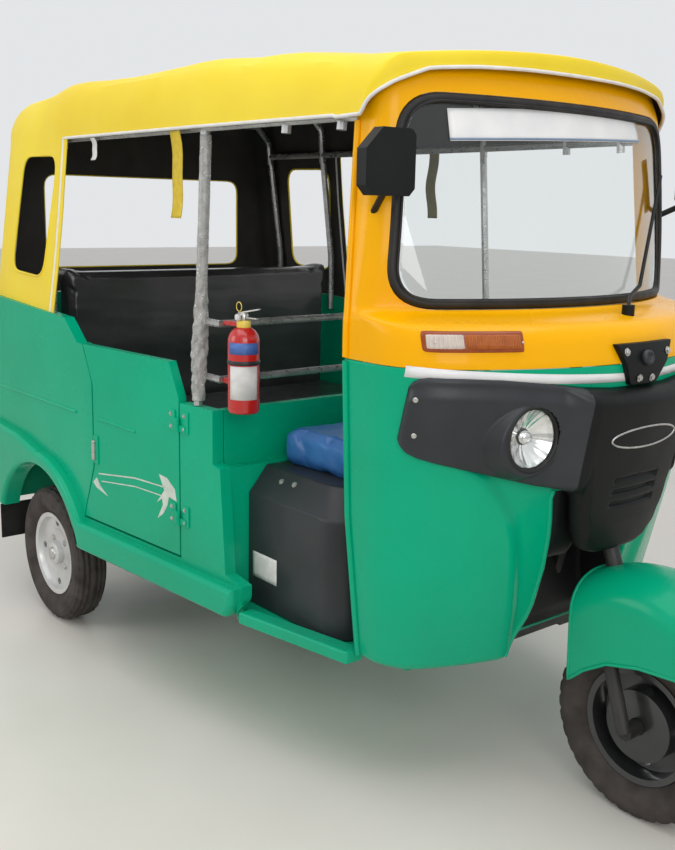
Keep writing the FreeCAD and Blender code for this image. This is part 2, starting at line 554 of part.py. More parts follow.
# Rear suspension: a cross tube under the rails, trailing arms and hub stubs out to the wheels.
ARM_X, ARM_Z = -600, s.floor_z - s.rail_tall - 24.3
arm_y = s.rear_track / 2 - 135
suspension = [Part.makeCylinder(24, 2 * arm_y + 60, Vector(ARM_X, -arm_y - 30, ARM_Z), Vector(0, 1, 0))]
for side in (-1, 1):
    beam_run = ARM_X - s.rear_axle_x + 16
    suspension += [Part.makeBox(beam_run, 44, 48, Vector(s.rear_axle_x - 16, side * arm_y - 22,
                                                         s.tyre_radius - 18)),
                   Part.makeCylinder(s.stub_radius, 150, Vector(s.rear_axle_x, side * arm_y, s.tyre_radius),
                                     Vector(0, side, 0))]
keep("rear_suspension", solid("rear_suspension", join(suspension)))

# Wheels: dished steel rims with brake drum and hub, and tyres, all in flats that match each other.
WHEEL_SIDES, GUARD_SIDES = 24, 36
BARREL = (("rim_radius+rim_lip", "-rim_width/2"), ("rim_radius+rim_lip", "rim_sheet-rim_width/2"),
          ("rim_radius-rim_sheet", "rim_sheet-rim_width/2+1"),
          ("rim_radius-rim_sheet", "rim_width/2-rim_sheet-1"),
          ("rim_radius+rim_lip", "rim_width/2-rim_sheet"), ("rim_radius+rim_lip", "rim_width/2"))
DISH = (("dish_radius", "disc_out-dish_deep"), ("rim_radius-rim_sheet-barrel_wall", "disc_out"),
        ("rim_radius-rim_sheet-barrel_wall", "rim_width/2+1"))
WELL = (("rim_radius-rim_sheet-barrel_wall", "-rim_width/2-1"),
        ("rim_radius-rim_sheet-barrel_wall", "disc_in"))
DRUM = (("drum_radius", "-drum_end"), ("drum_radius", "disc_in+1"))
HUB = (("hub_radius", "0"), ("hub_radius", "hub_end-8"), ("hub_radius-8", "hub_end"))
CARCASS = (("rim_radius+bead_gap", "6-tyre_width/2"), ("tyre_radius-tyre_waist", "-tyre_width/2"),
           ("tyre_radius-shoulder_drop", "5-tyre_width/2"), ("tyre_radius-4", "-tread_width/2"),
           ("tyre_radius", "-tread_width/4"))
CARCASS += tuple((radius, "-(%s)" % along) for radius, along in reversed(CARCASS))
BORE = (("rim_radius-rim_sheet+seat_gap", "-tyre_width"), ("rim_radius-rim_sheet+seat_gap", "tyre_width"))
BEAD = (("rim_radius+rim_lip+seat_gap", "rim_width/2-rim_sheet-1-seat_gap"),
        ("rim_radius+bead_gap", "tyre_width/2"))


def wheel(place, x, y):
    """A rim that turns on its stub, and the tyre seated on it."""
    at = (x, y, "tyre_radius")
    bore = rod("bore_" + place, "stub_radius+run_gap", 200, x, "(%s)-100" % y, "tyre_radius")
    hollow = cut("barrel_" + place, *[stack(part + place, WHEEL_SIDES, rows, *at) for part, rows in
                                      (("blank_", BARREL), ("dish_", DISH), ("well_", WELL))])
    centre = [stack("drum_" + place, WHEEL_SIDES, DRUM, *at), stack("hub_" + place, WHEEL_SIDES, HUB, *at)]
    vents = [bind(doc.addObject("Part::Prism", "vent_%s_%d" % (place, k)), Circumradius="vent_radius",
                  Height="60", Placement_at_x="(%s)+vent_circle*%d" % (x, dx), Placement_at_y=y,
                  Placement_at_z="tyre_radius+vent_circle*%d" % dz)
             for k, (dx, dz) in enumerate(((1, 0), (0, 1), (-1, 0), (0, -1)))]
    for vent in vents:
        vent.Polygon = 8
        vent.Placement.Rotation = TURNS["y"]
    rim = cut("rim_" + place, fuse("disc_" + place, [hollow] + centre), bore, *vents)
    beads = [stack("bead_%s_%d" % (place, k), WHEEL_SIDES, rows, *at) for k, rows in
             enumerate((BEAD, tuple((radius, "-(%s)" % along) for radius, along in reversed(BEAD))))]
    tyre = cut("tyre_" + place, stack("carcass_" + place, WHEEL_SIDES, CARCASS, *at),
               stack("seat_" + place, WHEEL_SIDES, BORE, *at), *beads)
    return rim, tyre


for place, x, y in (("front", "front_axle_x", "0"), ("rear_left", "rear_axle_x", "rear_track/2")):
    rim, tyre = wheel(place, x, y)
    keep("rim_" + place, rim)
    keep("tyre_" + place, tyre)
keep("rim_rear_right", mirrored("rim_rear_right", nodes["rim_rear_left"]))
keep("tyre_rear_right", mirrored("tyre_rear_right", nodes["tyre_rear_left"]))

# Steering: the leaning column, fork legs, bars and the mudguard that turns with the wheel.
foot = on_column(s.crown_z)
column = Part.makeCylinder(s.column_radius, (s.column_top_z - s.crown_z) / lean.z, foot, lean)
crown = Part.makeBox(s.crown_long, 2 * s.crown_half, s.crown_thick,
                     foot - Vector(s.crown_long / 2, s.crown_half, s.crown_thick / 2))
spindle = Part.makeCylinder(s.stub_radius, 2 * s.leg_y, axle - Vector(0, s.leg_y, 0), Vector(0, 1, 0))
legs = [Part.makeCylinder(s.leg_radius, (axle - foot).Length, foot + Vector(0, side * s.leg_y, 0),
                          axle - foot)
        for side in (-1, 1)]
keep("steering_fork", solid("steering_fork", join([column, crown, spindle] + legs)))
top = on_column(s.column_top_z) + lean * SEAT
clamp = Part.makeCylinder(s.clamp_radius, s.clamp_tall, top, lean)
grip = top + lean * (s.clamp_tall / 2)
right_bar = [(grip.x - s.bar_back, -s.bar_half, grip.z), (grip.x - 8, -s.bar_straight, grip.z)]
bars = tube(right_bar + [(x, -y, z) for x, y, z in reversed(right_bar)], s.bar_radius)
keep("handlebar", solid("handlebar", bars.fuse(clamp)))

GUARD = (("guard_radius-85", "-guard_half"), ("guard_radius-45", "8-guard_half"),
         ("guard_radius-13", "36-guard_half"), ("guard_radius", "80-guard_half"))
GUARD += tuple((radius, "-(%s)" % along) for radius, along in reversed(GUARD))
hub_at = ("front_axle_x", "0", "tyre_radius")
guard_skin = stack("guard_outer", GUARD_SIDES, GUARD, *hub_at)
thin_guard = tuple(("%s-guard_sheet" % radius, "(%s)*0.958" % along) for radius, along in GUARD)
guard_room = stack("guard_inner", GUARD_SIDES, thin_guard, *hub_at)
hood_of_wheel = [(-s.guard_rear, 400), (-s.guard_rear + 8, 88), (-47, 168), (137, 193), (s.guard_front, 185),
                 (s.guard_front, 400)]
guard_keep = side_prism([(axle.x + x, axle.z + z) for x, z in hood_of_wheel])
guard_keep = guard_keep.translated(Vector(0, 400, 0))
doc.recompute()
stem_room = Part.makeCylinder(s.column_radius + SEAT, 900, foot, lean)
guard = guard_skin.Shape.cut(guard_room.Shape).common(guard_keep).cut(stem_room)
keep("front_mudguard", solid("front_mudguard", guard))

# Nose: the dark mask that swells round the headlamps and climbs to the nose, the nose with its
# louvres, the plate above it, and the lamps.
half_mask = [(0, s.mask_mid_z), (-184, s.mask_mid_z + 8), (-390, s.mask_end_z - 4), (-536, s.mask_end_z),
             (-s.mask_half, s.mask_end_z - 14), (4 - s.mask_half, 936), (-538, 908), (-505, 892),
             (-412, 867), (-274, 826), (-185, 800)]
mask_area = front_prism(half_mask + [(-y, z) for y, z in [(0, 800)] + half_mask[:0:-1]])


def lamp_cylinder(side, radius, back, long):
    turn = math.radians(s.lamp_turn)
    along = Vector(math.cos(turn), side * math.sin(turn), 0)
    return Part.makeCylinder(radius, long, Vector(s.lamp_x, side * s.lamp_y, s.lamp_z) - along * back, along)


def lamp_swell(side):
    """The mask's round swelling, which ends in a ring about the lamp."""
    turn, long = math.radians(s.lamp_turn), s.swell_back + s.lamp_long + 3
    along = Vector(math.cos(turn), side * math.sin(turn), 0)
    foot = Vector(s.lamp_x, side * s.lamp_y, s.lamp_z) - along * s.swell_back
    return Part.makeCone(s.swell_radius, s.lamp_radius + s.lamp_ring, long, foot, along)


nose_area = front_prism(both([(-158, s.nose_top_z), (-166, 880), (-168, 800), (-140, 700),
                              (-90, s.nose_foot_z - 10)]))
lamp_holes = [lamp_cylinder(side, s.lamp_radius + SEAT, 100, 400) for side in (-1, 1)]
FLANK = ((921, -262), (1043, -92), (1160, -92), (1160, -420), (921, -420))
flank_side = prism([Vector(x, y, 600) for x, y in FLANK], Vector(0, 0, 600))
flank_area = front_prism([(-s.flank_half, s.nose_top_z), (-s.flank_half, 800), (-100, 800),
                          (-100, s.nose_top_z)])
flank = cowl_body(LEG, s.nose_proud).common(flank_area).cut(flank_side)
swells = [lamp_swell(side) for side in (-1, 1)]
raised = join([flank, flank.mirror(Vector(), Vector(0, 1, 0))] + swells).common(mask_area)
mask_skin = cowl_shell(LEG, s.mask_thick, SEAT).common(mask_area).fuse(raised.cut(cowl_body(LEG, SEAT, 60)))
keep("headlamp_mask", solid("headlamp_mask", mask_skin.cut(lamp_holes + [nose_area])))
nose_block = cowl_body(LEG, s.nose_proud).common(nose_area).cut(cowl_body(LEG, SEAT, 60))
louvres = [Part.makeBox(200, 2 * s.louvre_half, s.louvre_tall,
                        Vector(s.belt_front + s.nose_proud - s.louvre_deep, -s.louvre_half,
                               s.louvre_z + k * s.louvre_step))
           for k in range(3)]
keep("nose_grille", solid("nose_grille", nose_block.cut(louvres + [column_room])))
lamps = [lamp_cylinder(side, s.lamp_radius, 40, 40 + s.lamp_long) for side in (-1, 1)]
keep("headlamps", solid("headlamps", join(lamps).cut(cowl_body(LEG, SEAT, 200))))
blinker_areas = [front_prism([(side * s.blinker_in, s.blinker_low_z),
                              (side * s.blinker_out, s.blinker_low_z),
                              (side * s.blinker_out, s.blinker_high_z),
                              (side * s.blinker_in, s.blinker_high_z - 4)])
                 for side in (-1, 1)]
blinkers = cowl_shell(SCUTTLE, s.blinker_thick, SEAT).common(join(blinker_areas))
keep("front_indicators", solid("front_indicators", blinkers))
plate_high = front_prism(both([(-106, s.plate_high_z), (-80, s.belt_z)]))
plate_low = front_prism(both([(-80, s.belt_z), (-50, s.plate_low_z)]))
plate = cowl_shell(SCUTTLE, s.plate_thick, SEAT).common(plate_high)
plate = plate.fuse(cowl_shell(LEG, s.plate_thick, SEAT).common(plate_low))
keep("centre_bracket", solid("centre_bracket", plate))
WIPER = ((900, 46, 1222), (850, 120, 1240), (821, 200, 1262), (705, 425, 1540))
wiper = join([Part.makeCylinder(15, 46, Vector(900, 46, 1180), Vector(0, 0, 1)), tube(WIPER, 5)])
keep("wiper", solid("wiper", wiper.cut(cowl_body(SCUTTLE, SEAT, 60))))


def mirror_head(out):
    """A housing with cut corners on its arm from the door frame, swung outwards by some distance."""
    inner, outer = s.mirror_in + out, s.mirror_in + out + s.mirror_wide
    low, high = s.mirror_z, s.mirror_z + s.mirror_wide
    outline = [(inner, low + 16), (inner, high - 12), (inner + 14, high), (outer - 46, high),
               (outer, high - 45), (outer, low + 20), (outer - 20, low), (inner + 16, low)]
    shell = front_prism([(-y, z) for y, z in outline], s.mirror_x, s.mirror_deep)
    end = (s.mirror_x + s.mirror_deep / 2, -inner - s.mirror_wide / 2, low + 15)
    arm = tube([(606, -520, 1420), end], 8)
    return shell.fuse(arm).cut(cowl_body(SCREEN, SEAT, 60))


left_mirror = mirror_head(s.mirror_swing).mirror(Vector(), Vector(0, 1, 0))
keep("mirrors", solid("mirrors", Part.makeCompound([mirror_head(0), left_mirror])))
dash_box = Part.makeBox(400, 1300, s.dash_high_z - s.dash_low_z, Vector(s.dash_x, -650, s.dash_low_z))
head_room = Part.makeCylinder(s.column_radius + s.head_wall + SEAT, 900, on_column(500), lean)
keep("dashboard", solid("dashboard", cowl_body(LEG, -s.cowl_wall - SEAT).common(dash_box).cut(head_room)))

# Hood: the canopy with its window openings, its tube frame, and the cowl's edges trimmed to it.
# place along the vehicle, half width at the waist, half width at the shoulder, crown
HOOD = ((s.hood_rear_x, 642, 554, 1778), (-1240, 643, 560, 1808), (-900, 644, 566, 1846),
        (s.post_top_x, 638, 566, 1848), (300, 622, 556, 1834), (500, 608, 549, 1812),
        (640, 600, 546, 1800), (800, 592, 543, 1797))


def hood_section(x, low_half, half, top, grow):
    """A section across the hood: leaning sides, a tight shoulder and a gently arched roof."""
    half, low_half, top = half + grow, low_half + grow, top + grow
    knee, fall = half - s.hood_shoulder_in, top - s.hood_shoulder_drop
    drop = fall - s.hood_side_z
    bend = [(half - s.hood_shoulder_in * (1 - math.cos(t)), s.hood_side_z + drop * math.sin(t))
            for t in [math.pi / 2 * k / 5 for k in range(5)]]
    roof = [(knee * (1 - k / 4), fall + (top - fall) * (1 - (1 - k / 4) ** 2)) for k in range(5)]
    right = [(-y, z) for y, z in [(low_half, s.hood_low_z)] + bend + roof[:-1]]
    at = [Vector(x, y, z) for y, z in right + [(0, top)] + [(-y, z) for y, z in reversed(right)]]
    return Part.makePolygon(at + at[:1])


def hood_body(grow, ends=0.0):
    rows = [(HOOD[0][0] - ends,) + HOOD[0][1:]] + list(HOOD[1:])
    return Part.makeLoft([hood_section(*row, grow) for row in rows], True, True)


def hood_plan(grow):
    """The canopy's plan: all of the vehicle's width, then a nose that follows the header."""
    nose = cowl_plan(300, s.hood_nose_half + grow, s.hood_nose_front + grow, s.hood_nose_crown + grow,
                     s.hood_nose_corner + grow)
    front = prism([Vector(x, y, 900) for x, y in nose], Vector(0, 0, 1100))
    return front.fuse(Part.makeBox(1900, 1400, 1100, Vector(-1400, -700, 900)))


skin = s.hood_skin
under_hood = hood_body(-skin - 0.5)
over_hood = Part.makeBox(500, 1400, 300, Vector(440, -700, s.hood_side_z)).cut(under_hood)
scuttle_and_frame = cowl_shell(SCUTTLE, 0, -s.cowl_wall).fuse(cowl_shell(SCREEN, 0, -s.cowl_wall))
keep("cowl_upper", solid("cowl_upper", scuttle_and_frame.cut([screen_area(0), over_hood])))
rear_slice = Part.makeBox(skin, 1400, 900, Vector(s.hood_rear_x, -700, 950))
outer = hood_body(0).common(hood_plan(0))
inner = hood_body(-skin, 40).common(hood_plan(-skin)).cut(rear_slice)
x0 = s.entry_rear_x
below_front = side_prism([(x0, 990), (x0 - 6, 1583), (x0 + 22, s.valance_z - 4), (583, s.valance_z),
                          (596, 1660), (611, 1678), (635, 1698), (651, 1714), (675, s.hem_front_z - 14),
                          (710, s.hem_front_z - 4), (736, s.hem_front_z), (900, s.hem_front_z),
                          (900, 990)], 1600)
below_rear = side_prism([(-1400, 990), (-1400, s.waist_rear_z + 4.2),
                         (s.waist_front_x, s.waist_front_z + SEAT), (s.waist_front_x, 990)], 1600)
quarter = side_prism([(-1085, 1200), (-905, 1185), (-880, 1230), (-868, 1570), (-890, 1590),
                      (-1080, 1590), (-1112, 1560), (-1108, 1230)], 1600)
rear_window = Part.makeBox(100, 2 * s.rear_window_half, s.rear_window_high_z - s.rear_window_low_z,
                           Vector(-1380, -s.rear_window_half, s.rear_window_low_z))
keep("canopy", solid("canopy", outer.cut([inner, below_front, below_rear, quarter, rear_window])))

# place along the vehicle, half width and crown of the hood there
bow_rows = [row for row in HOOD if s.hood_rear_x < row[0] < 600]
bows = []
for x, low_half, half, crown_top in bow_rows:
    bend = [(-half + 27, 1610), (-half + 36, crown_top - 112), (-half + 94, crown_top - 51)]
    bows.append(tube([(x, y, z) for y, z in both(bend)], s.bow_radius))
posts = [tube([(s.post_x, side * s.post_y, s.front_top_z + 4 * SEAT),
               (s.post_top_x, side * s.post_top_y, 1640)], s.bow_radius) for side in (-1, 1)]
wall_y = s.tub_half - s.tub_wall - s.bow_radius - SEAT
stands = [tube([(x, side * wall_y, 1040), (x, side * (wall_y - 3), 1250), (x, side * (half - 27), 1640)],
               s.bow_radius) for side in (-1, 1) for x, low_half, half, crown_top in bow_rows[:2]]
side_rails = [tube([(x, side * (half - 28), 1640) for x, low_half, half, crown_top in bow_rows],
                   s.bow_radius) for side in (-1, 1)]
ties = [tube([(500, side * 521, 1640), (550, side * 509, 1640)], s.bow_radius) for side in (-1, 1)]
tubes = join(bows + posts + stands + side_rails + ties)
keep("hood_frame", solid("hood_frame", tubes.cut(cowl_body(SCREEN, SEAT, SEAT))))

rail_runs = []
for z in (s.partition_high_z, s.partition_low_z):
    right_end = [(s.post_x - 8, -s.partition_half, z), (s.partition_x, -s.partition_half, z)]
    rail_runs.append(tube(right_end + [(x, -y, z) for x, y, z in reversed(right_end)], s.partition_radius))
post_room = [tube([(s.post_x, side * s.post_y, s.front_top_z), (s.post_top_x, side * s.post_top_y, 1640)],
                  s.bow_radius + SEAT) for side in (-1, 1)]
rail_shape = Part.makeCompound([max(bar.cut(post_room).Solids, key=lambda v: v.Volume) for bar in rail_runs])
keep("partition_rails", solid("partition_rails", rail_shape))
bottle_foot = Vector(s.bottle_x, -s.bottle_y, s.bottle_z)
strap_x = s.partition_x + s.partition_radius * math.cos(math.pi / TUBE_SIDES) + SEAT
straps = [Part.makeBox(s.bottle_x - strap_x, 20, 16, Vector(strap_x, -s.bottle_y - 10, z - 8))
          for z in (s.partition_low_z, s.partition_high_z)]
body = Part.makeCylinder(s.bottle_radius, s.bottle_tall, bottle_foot)
neck = Part.makeCylinder(s.neck_radius, s.neck_tall, bottle_foot + Vector(0, 0, s.bottle_tall))
keep("extinguisher", solid("extinguisher", join([body, neck] + straps)))
flaps = [block("flap_%d" % k, 6, "flap_wide", "sill_z-flap_foot_z-seat_gap", "flap_x", y, "flap_foot_z")
         for k, y in enumerate(("-flap_in-flap_wide", "flap_in"))]
keep("mud_flaps", fuse("mud_flaps", flaps))

doc.recompute()
bad = [o.Name for o in doc.Objects if {"Invalid", "Error"} & set(o.State)]
if bad:
    raise RuntimeError("features in error: " + ", ".join(bad))
os.makedirs("parts", exist_ok=True)
for name, node in nodes.items():
    shape = node.Shape
    if shape.isNull() or not shape.isValid():
        raise RuntimeError(name + " has no valid shape")
    print("%-22s %2d solids  %s" % (name, len(shape.Solids), shape.BoundBox))
    shape.exportStep("parts/%s.step" % name)
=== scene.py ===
from math import acos, atan2, cos, pi, radians, sin, sqrt

import bmesh
import bpy
from mathutils import Matrix, Vector, noise


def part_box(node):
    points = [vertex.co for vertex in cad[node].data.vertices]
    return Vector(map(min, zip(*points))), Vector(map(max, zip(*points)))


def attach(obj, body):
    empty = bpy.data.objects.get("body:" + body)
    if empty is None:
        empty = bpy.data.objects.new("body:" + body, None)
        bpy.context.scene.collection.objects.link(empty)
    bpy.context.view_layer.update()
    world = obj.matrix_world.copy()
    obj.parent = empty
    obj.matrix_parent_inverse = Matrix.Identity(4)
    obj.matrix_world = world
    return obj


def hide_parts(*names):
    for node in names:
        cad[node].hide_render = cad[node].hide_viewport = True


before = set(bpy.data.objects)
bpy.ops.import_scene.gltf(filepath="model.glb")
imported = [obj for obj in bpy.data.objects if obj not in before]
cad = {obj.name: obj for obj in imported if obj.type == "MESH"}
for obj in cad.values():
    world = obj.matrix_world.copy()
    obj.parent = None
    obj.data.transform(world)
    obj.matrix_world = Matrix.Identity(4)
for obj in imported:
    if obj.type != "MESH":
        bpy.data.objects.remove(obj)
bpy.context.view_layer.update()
scene = bpy.context.scene

# Studio. The eye stands off the vehicle's right front corner at head height, looking slightly down.
# A wide panel under the ceiling and a tall one at the front corner light it softly; the floor is pale.
yaw, pitch, roll = radians(140.377), radians(-11.729), 0.021
ahead = Vector((cos(yaw) * cos(pitch), sin(yaw) * cos(pitch), sin(pitch)))
level = ahead.cross(Vector((0, 0, 1))).normalized()
upright = level.cross(ahead)
eye_right = level * cos(roll) + upright * sin(roll)
eye_up = upright * cos(roll) - level * sin(roll)
eye = bpy.data.objects.new("eye", bpy.data.cameras.new("eye"))
look = Matrix((eye_right, eye_up, -ahead)).transposed().to_4x4()
eye.matrix_world = Matrix.Translation((2.3768, -2.0695, 1.4351)) @ look
eye.data.lens = 44.02
scene.collection.objects.link(eye)
scene.camera = eye
scene.view_settings.view_transform = "Standard"


def panel_light(name, at, towards, wide, tall, power):
    """A soft rectangular light that looks towards a point."""
    lamp = bpy.data.objects.new(name, bpy.data.lights.new(name, "AREA"))
    lamp.data.shape = "RECTANGLE"
    lamp.data.size, lamp.data.size_y, lamp.data.energy = wide, tall, power
    lamp.location = at
    lamp.rotation_euler = (Vector(towards) - Vector(at)).to_track_quat("-Z", "Y").to_euler()
    scene.collection.objects.link(lamp)


panel_light("ceiling_panel", (0.6, -0.6, 4.4), (0.0, 0.0, 0.0), 5.0, 4.0, 105)
panel_light("front_panel", (4.6, -2.6, 2.6), (0.4, 0.0, 0.8), 2.6, 2.2, 62)
panel_light("side_panel", (-2.2, -4.6, 2.4), (-0.4, 0.0, 0.9), 2.4, 2.0, 42)


def add(made, kind, inputs=None, **settings):
    """A node in a material, a world or a tree; its sockets take a value or another node's socket."""
    tree = getattr(made, "node_tree", made)
    placed = tree.nodes.new(kind)
    for key, value in settings.items():
        setattr(placed, key, value)
    for key, value in (inputs or {}).items():
        if isinstance(value, bpy.types.NodeSocket):
            tree.links.new(value, placed.inputs[key])
        else:
            placed.inputs[key].default_value = value
    return placed


sky = bpy.data.worlds.new("studio")
sky.use_nodes = True
scene.world = sky
air = sky.node_tree.nodes["Background"]
air.inputs["Color"].default_value = (0.90, 0.92, 0.94, 1)
ray = add(sky, "ShaderNodeLightPath").outputs
seen = add(sky, "ShaderNodeMath", {0: ray["Is Camera Ray"], 1: ray["Is Glossy Ray"]}, operation="ADD")
seen = add(sky, "ShaderNodeMath", {0: seen.outputs[0], 1: ray["Is Transmission Ray"]},
           operation="ADD", use_clamp=True)
bright = add(sky, "ShaderNodeMapRange", {0: seen.outputs[0], 3: 0.5, 4: 0.86})
sky.node_tree.links.new(bright.outputs[0], air.inputs["Strength"])


def base(name, **sockets):
    """A material whose even values sit on the shader's own sockets."""
    made = bpy.data.materials.new(name)
    made.use_nodes = True
    shader = made.node_tree.nodes["Principled BSDF"]
    for socket, value in sockets.items():
        shader.inputs[socket.replace("_", " ")].default_value = value
    return made


def grain(made, scale, detail=3.0, stretch=(1, 1, 1), rough=0.5):
    """Soft noise over the piece, stretched along an axis where the finish runs one way."""
    spot = add(made, "ShaderNodeTexCoord")
    run = add(made, "ShaderNodeMapping", {"Vector": spot.outputs["Object"], "Scale": stretch})
    speck = add(made, "ShaderNodeTexNoise",
                {"Vector": run.outputs[0], "Scale": scale, "Detail": detail, "Roughness": rough})
    return speck.outputs["Fac"]


def feed(made, source, label):
    """Links a socket to one of the shader's own."""
    made.node_tree.links.new(source, made.node_tree.nodes["Principled BSDF"].inputs[label])


def shades(made, amount, *stops):
    """Colours over a pattern, given as place and colour."""
    ramp = add(made, "ShaderNodeValToRGB", {"Fac": amount})
    for mark, (place, colour) in zip(ramp.color_ramp.elements, stops):
        mark.position, mark.color = place, (*colour, 1)
    return ramp.outputs[0]


def gloss(made, amount, low, high):
    """Roughness that follows a pattern between two values."""
    span = add(made, "ShaderNodeMapRange", {0: amount, 1: 0.3, 2: 0.7, 3: low, 4: high})
    feed(made, span.outputs[0], "Roughness")


def press(made, height, deep, strength=1.0):
    """Relief on top of the relief that is already there."""
    bump = add(made, "ShaderNodeBump", {"Height": height, "Distance": deep, "Strength": strength})
    there = made.node_tree.nodes["Principled BSDF"].inputs["Normal"].links
    if there:
        made.node_tree.links.new(there[0].from_socket, bump.inputs["Normal"])
    feed(made, bump.outputs[0], "Normal")


def coat(name, tone, dark, light, rough=None, relief=(), ends=(0.3, 0.7), **sockets):
    """A finish whose colour, gloss and relief each follow a grain of their own. Each grain is given as
    its scale, detail, stretch and roughness; the range of the gloss and each relief's depth follow it."""
    made = base(name, **sockets)
    feed(made, shades(made, grain(made, *tone), (ends[0], dark), (ends[1], light)), "Base Color")
    if rough:
        gloss(made, grain(made, *rough[0]), *rough[1:])
    for pattern, *depth in relief:
        press(made, grain(made, *pattern), *depth)
    return made


floor_finish = coat("pale_floor", (1.5, 5), (0.79, 0.74, 0.68), (0.84, 0.79, 0.73), ((6,), 0.30, 0.40),
                    Specular_IOR_Level=0.3)
bpy.ops.mesh.primitive_plane_add(size=60)
ground = bpy.context.object
ground.name = "ground"
ground.data.materials.append(floor_finish)

# Chassis and running gear: box rails, steering head and trailing arms, welded and dipped in black
# chassis paint. Sharp edges of every pressed or welded node get a small radius and even shading.


def node_group(name, **sockets):
    """An empty Geometry Nodes tree with its inputs and one geometry output."""
    tree = bpy.data.node_groups.new(name, "GeometryNodeTree")
    for label, kind in sockets.items():
        tree.interface.new_socket(label, in_out="INPUT", socket_type="NodeSocket" + kind)
    tree.interface.new_socket("Geometry", in_out="OUTPUT", socket_type="NodeSocketGeometry")
    return tree, add(tree, "NodeGroupInput").outputs, add(tree, "NodeGroupOutput").inputs["Geometry"]


def even_faces():
    """A tree that joins a node's loose triangles and shades them smooth up to a crease."""
    tree, source, target = node_group("even_faces", Geometry="Geometry")
    bare = add(tree, "GeometryNodeRemoveAttribute", {"Geometry": source[0], "Name": "custom_normal"})
    soft = add(tree, "GeometryNodeSetShadeSmooth", {"Geometry": bare.outputs[0]})
    angle = add(tree, "GeometryNodeInputMeshEdgeAngle").outputs["Unsigned Angle"]
    crease = add(tree, "FunctionNodeCompare", {0: angle, 1: radians(32)}, operation="GREATER_THAN")
    hard = add(tree, "GeometryNodeSetShadeSmooth", {"Geometry": soft.outputs[0], "Shade Smooth": False,
                                                    "Selection": crease.outputs["Result"]}, domain="EDGE")
    tree.links.new(hard.outputs[0], target)
    return tree


smooth_tree = even_faces()


def dress(names, finish, edge=0.002, rolled=None):
    """Gives CAD nodes their finish, their softened edges and even shading. Edges between two corners
    that the rule in rolled picks get the wide bend of a rolled sheet."""
    for name in names.split():
        part = cad[name]
        part.material_slots[0].material = finish
        joined = part.modifiers.new("joined", "WELD")
        joined.merge_threshold = 1e-5
        if edge:
            flat = part.modifiers.new("flat", "DECIMATE")
            flat.decimate_type, flat.angle_limit = "DISSOLVE", radians(0.6)
            if rolled:
                group = part.vertex_groups.new(name="rolled")
                group.add([spot.index for spot in part.data.vertices if rolled(spot.co)], 1.0, "REPLACE")
                bend = part.modifiers.new("rolled", "BEVEL")
                bend.width, bend.segments, bend.use_clamp_overlap = 0.016, 5, False
                bend.limit_method, bend.vertex_group = "VGROUP", "rolled"
            small = part.modifiers.new("rounded", "BEVEL")
            small.width, small.segments, small.limit_method = edge, 2 if edge < 0.005 else 3, "ANGLE"
            small.angle_limit, small.use_clamp_overlap, small.harden_normals = radians(40), True, False
        part.modifiers.new("even", "NODES").node_group = smooth_tree
        level = part.modifiers.new("level", "WEIGHTED_NORMAL")
        level.weight, level.keep_sharp = 70, True


chassis_black = coat("chassis_black", (9, 6), (0.012, 0.012, 0.013), (0.045, 0.042, 0.038),
                     ((22,), 0.35, 0.62), [((180, 2), 0.0004)], ends=(0.35, 0.7), Specular_IOR_Level=0.4)
dress("chassis_frame rear_suspension steering_fork rear_bumper", chassis_black)

cast_alloy = coat("cast_alloy", (14, 6), (0.14, 0.14, 0.14), (0.36, 0.36, 0.35), ((40,), 0.42, 0.65),
                  [((260, 2), 0.0005)], Metallic=0.85)
dress("engine_block", cast_alloy, 0.006)

exhaust_steel = coat("exhaust_steel", (11, 7), (0.10, 0.085, 0.07), (0.25, 0.23, 0.21), ((30,), 0.4, 0.7),
                     [((90, 4), 0.0004)], ends=(0.3, 0.72), Metallic=0.8)
dress("silencer", exhaust_steel)

# Body panels: pressed steel in a deep green gloss enamel, with the light ripple of sprayed paint
# and a film of road dust that thickens towards the sills.


def enamel(name, deep, bright, dusty):
    """A gloss coat over two tones of a colour, duller and dusty towards the ground."""
    made = base(name, Coat_Weight=0.13, Coat_Roughness=0.03, Specular_IOR_Level=0.12)
    spot = add(made, "ShaderNodeTexCoord")
    parts = add(made, "ShaderNodeSeparateXYZ", {0: spot.outputs["Object"]})
    low = add(made, "ShaderNodeMapRange", {0: parts.outputs["Z"], 1: 0.62, 2: 0.30, 3: 0.0, 4: 0.55})
    film = add(made, "ShaderNodeMath", {0: low.outputs[0], 1: grain(made, 7, 6, rough=0.65)},
               operation="MULTIPLY")
    tone = shades(made, grain(made, 2.2, 4), (0.3, deep), (0.7, bright))
    mix = add(made, "ShaderNodeMix", {"Factor": film.outputs[0], 6: tone, 7: (*dusty, 1)}, data_type="RGBA")
    feed(made, mix.outputs[2], "Base Color")
    gloss(made, grain(made, 5, 5), 0.20, 0.34)
    press(made, grain(made, 55, 2), 0.0005, 0.22)
    press(made, grain(made, 3.2, 2), 0.004, 0.22)
    return made


green_enamel = enamel("green_enamel", (0.0, 0.385, 0.200), (0.0, 0.450, 0.240), (0.03, 0.27, 0.165))
dress("bulkhead rear_panel floor_pan seat_base engine_lid", green_enamel, 0.003)
dress("door_right door_left step_rails", green_enamel, 0.006)


def skin_y(x):
    """Half width over the side panels, which draw in from the tub to the cowl."""
    return 0.640 - 0.060 / 0.789 * max(0.0, x + 0.600)


def on_flare(at):
    """The outer corners of the flared band along the foot of the tub and round the wheel."""
    return abs(at.y) > skin_y(at.x) + 0.031 or (at.x > 0.14 and at.z < 0.40)


dress("tub_side_right tub_side_left", green_enamel, 0.003, on_flare)
yellow_enamel = enamel("yellow_enamel", (0.96, 0.440, 0.0), (1.0, 0.490, 0.0), (0.85, 0.48, 0.04))

SIDES = ((-1, "right"), (1, "left"))
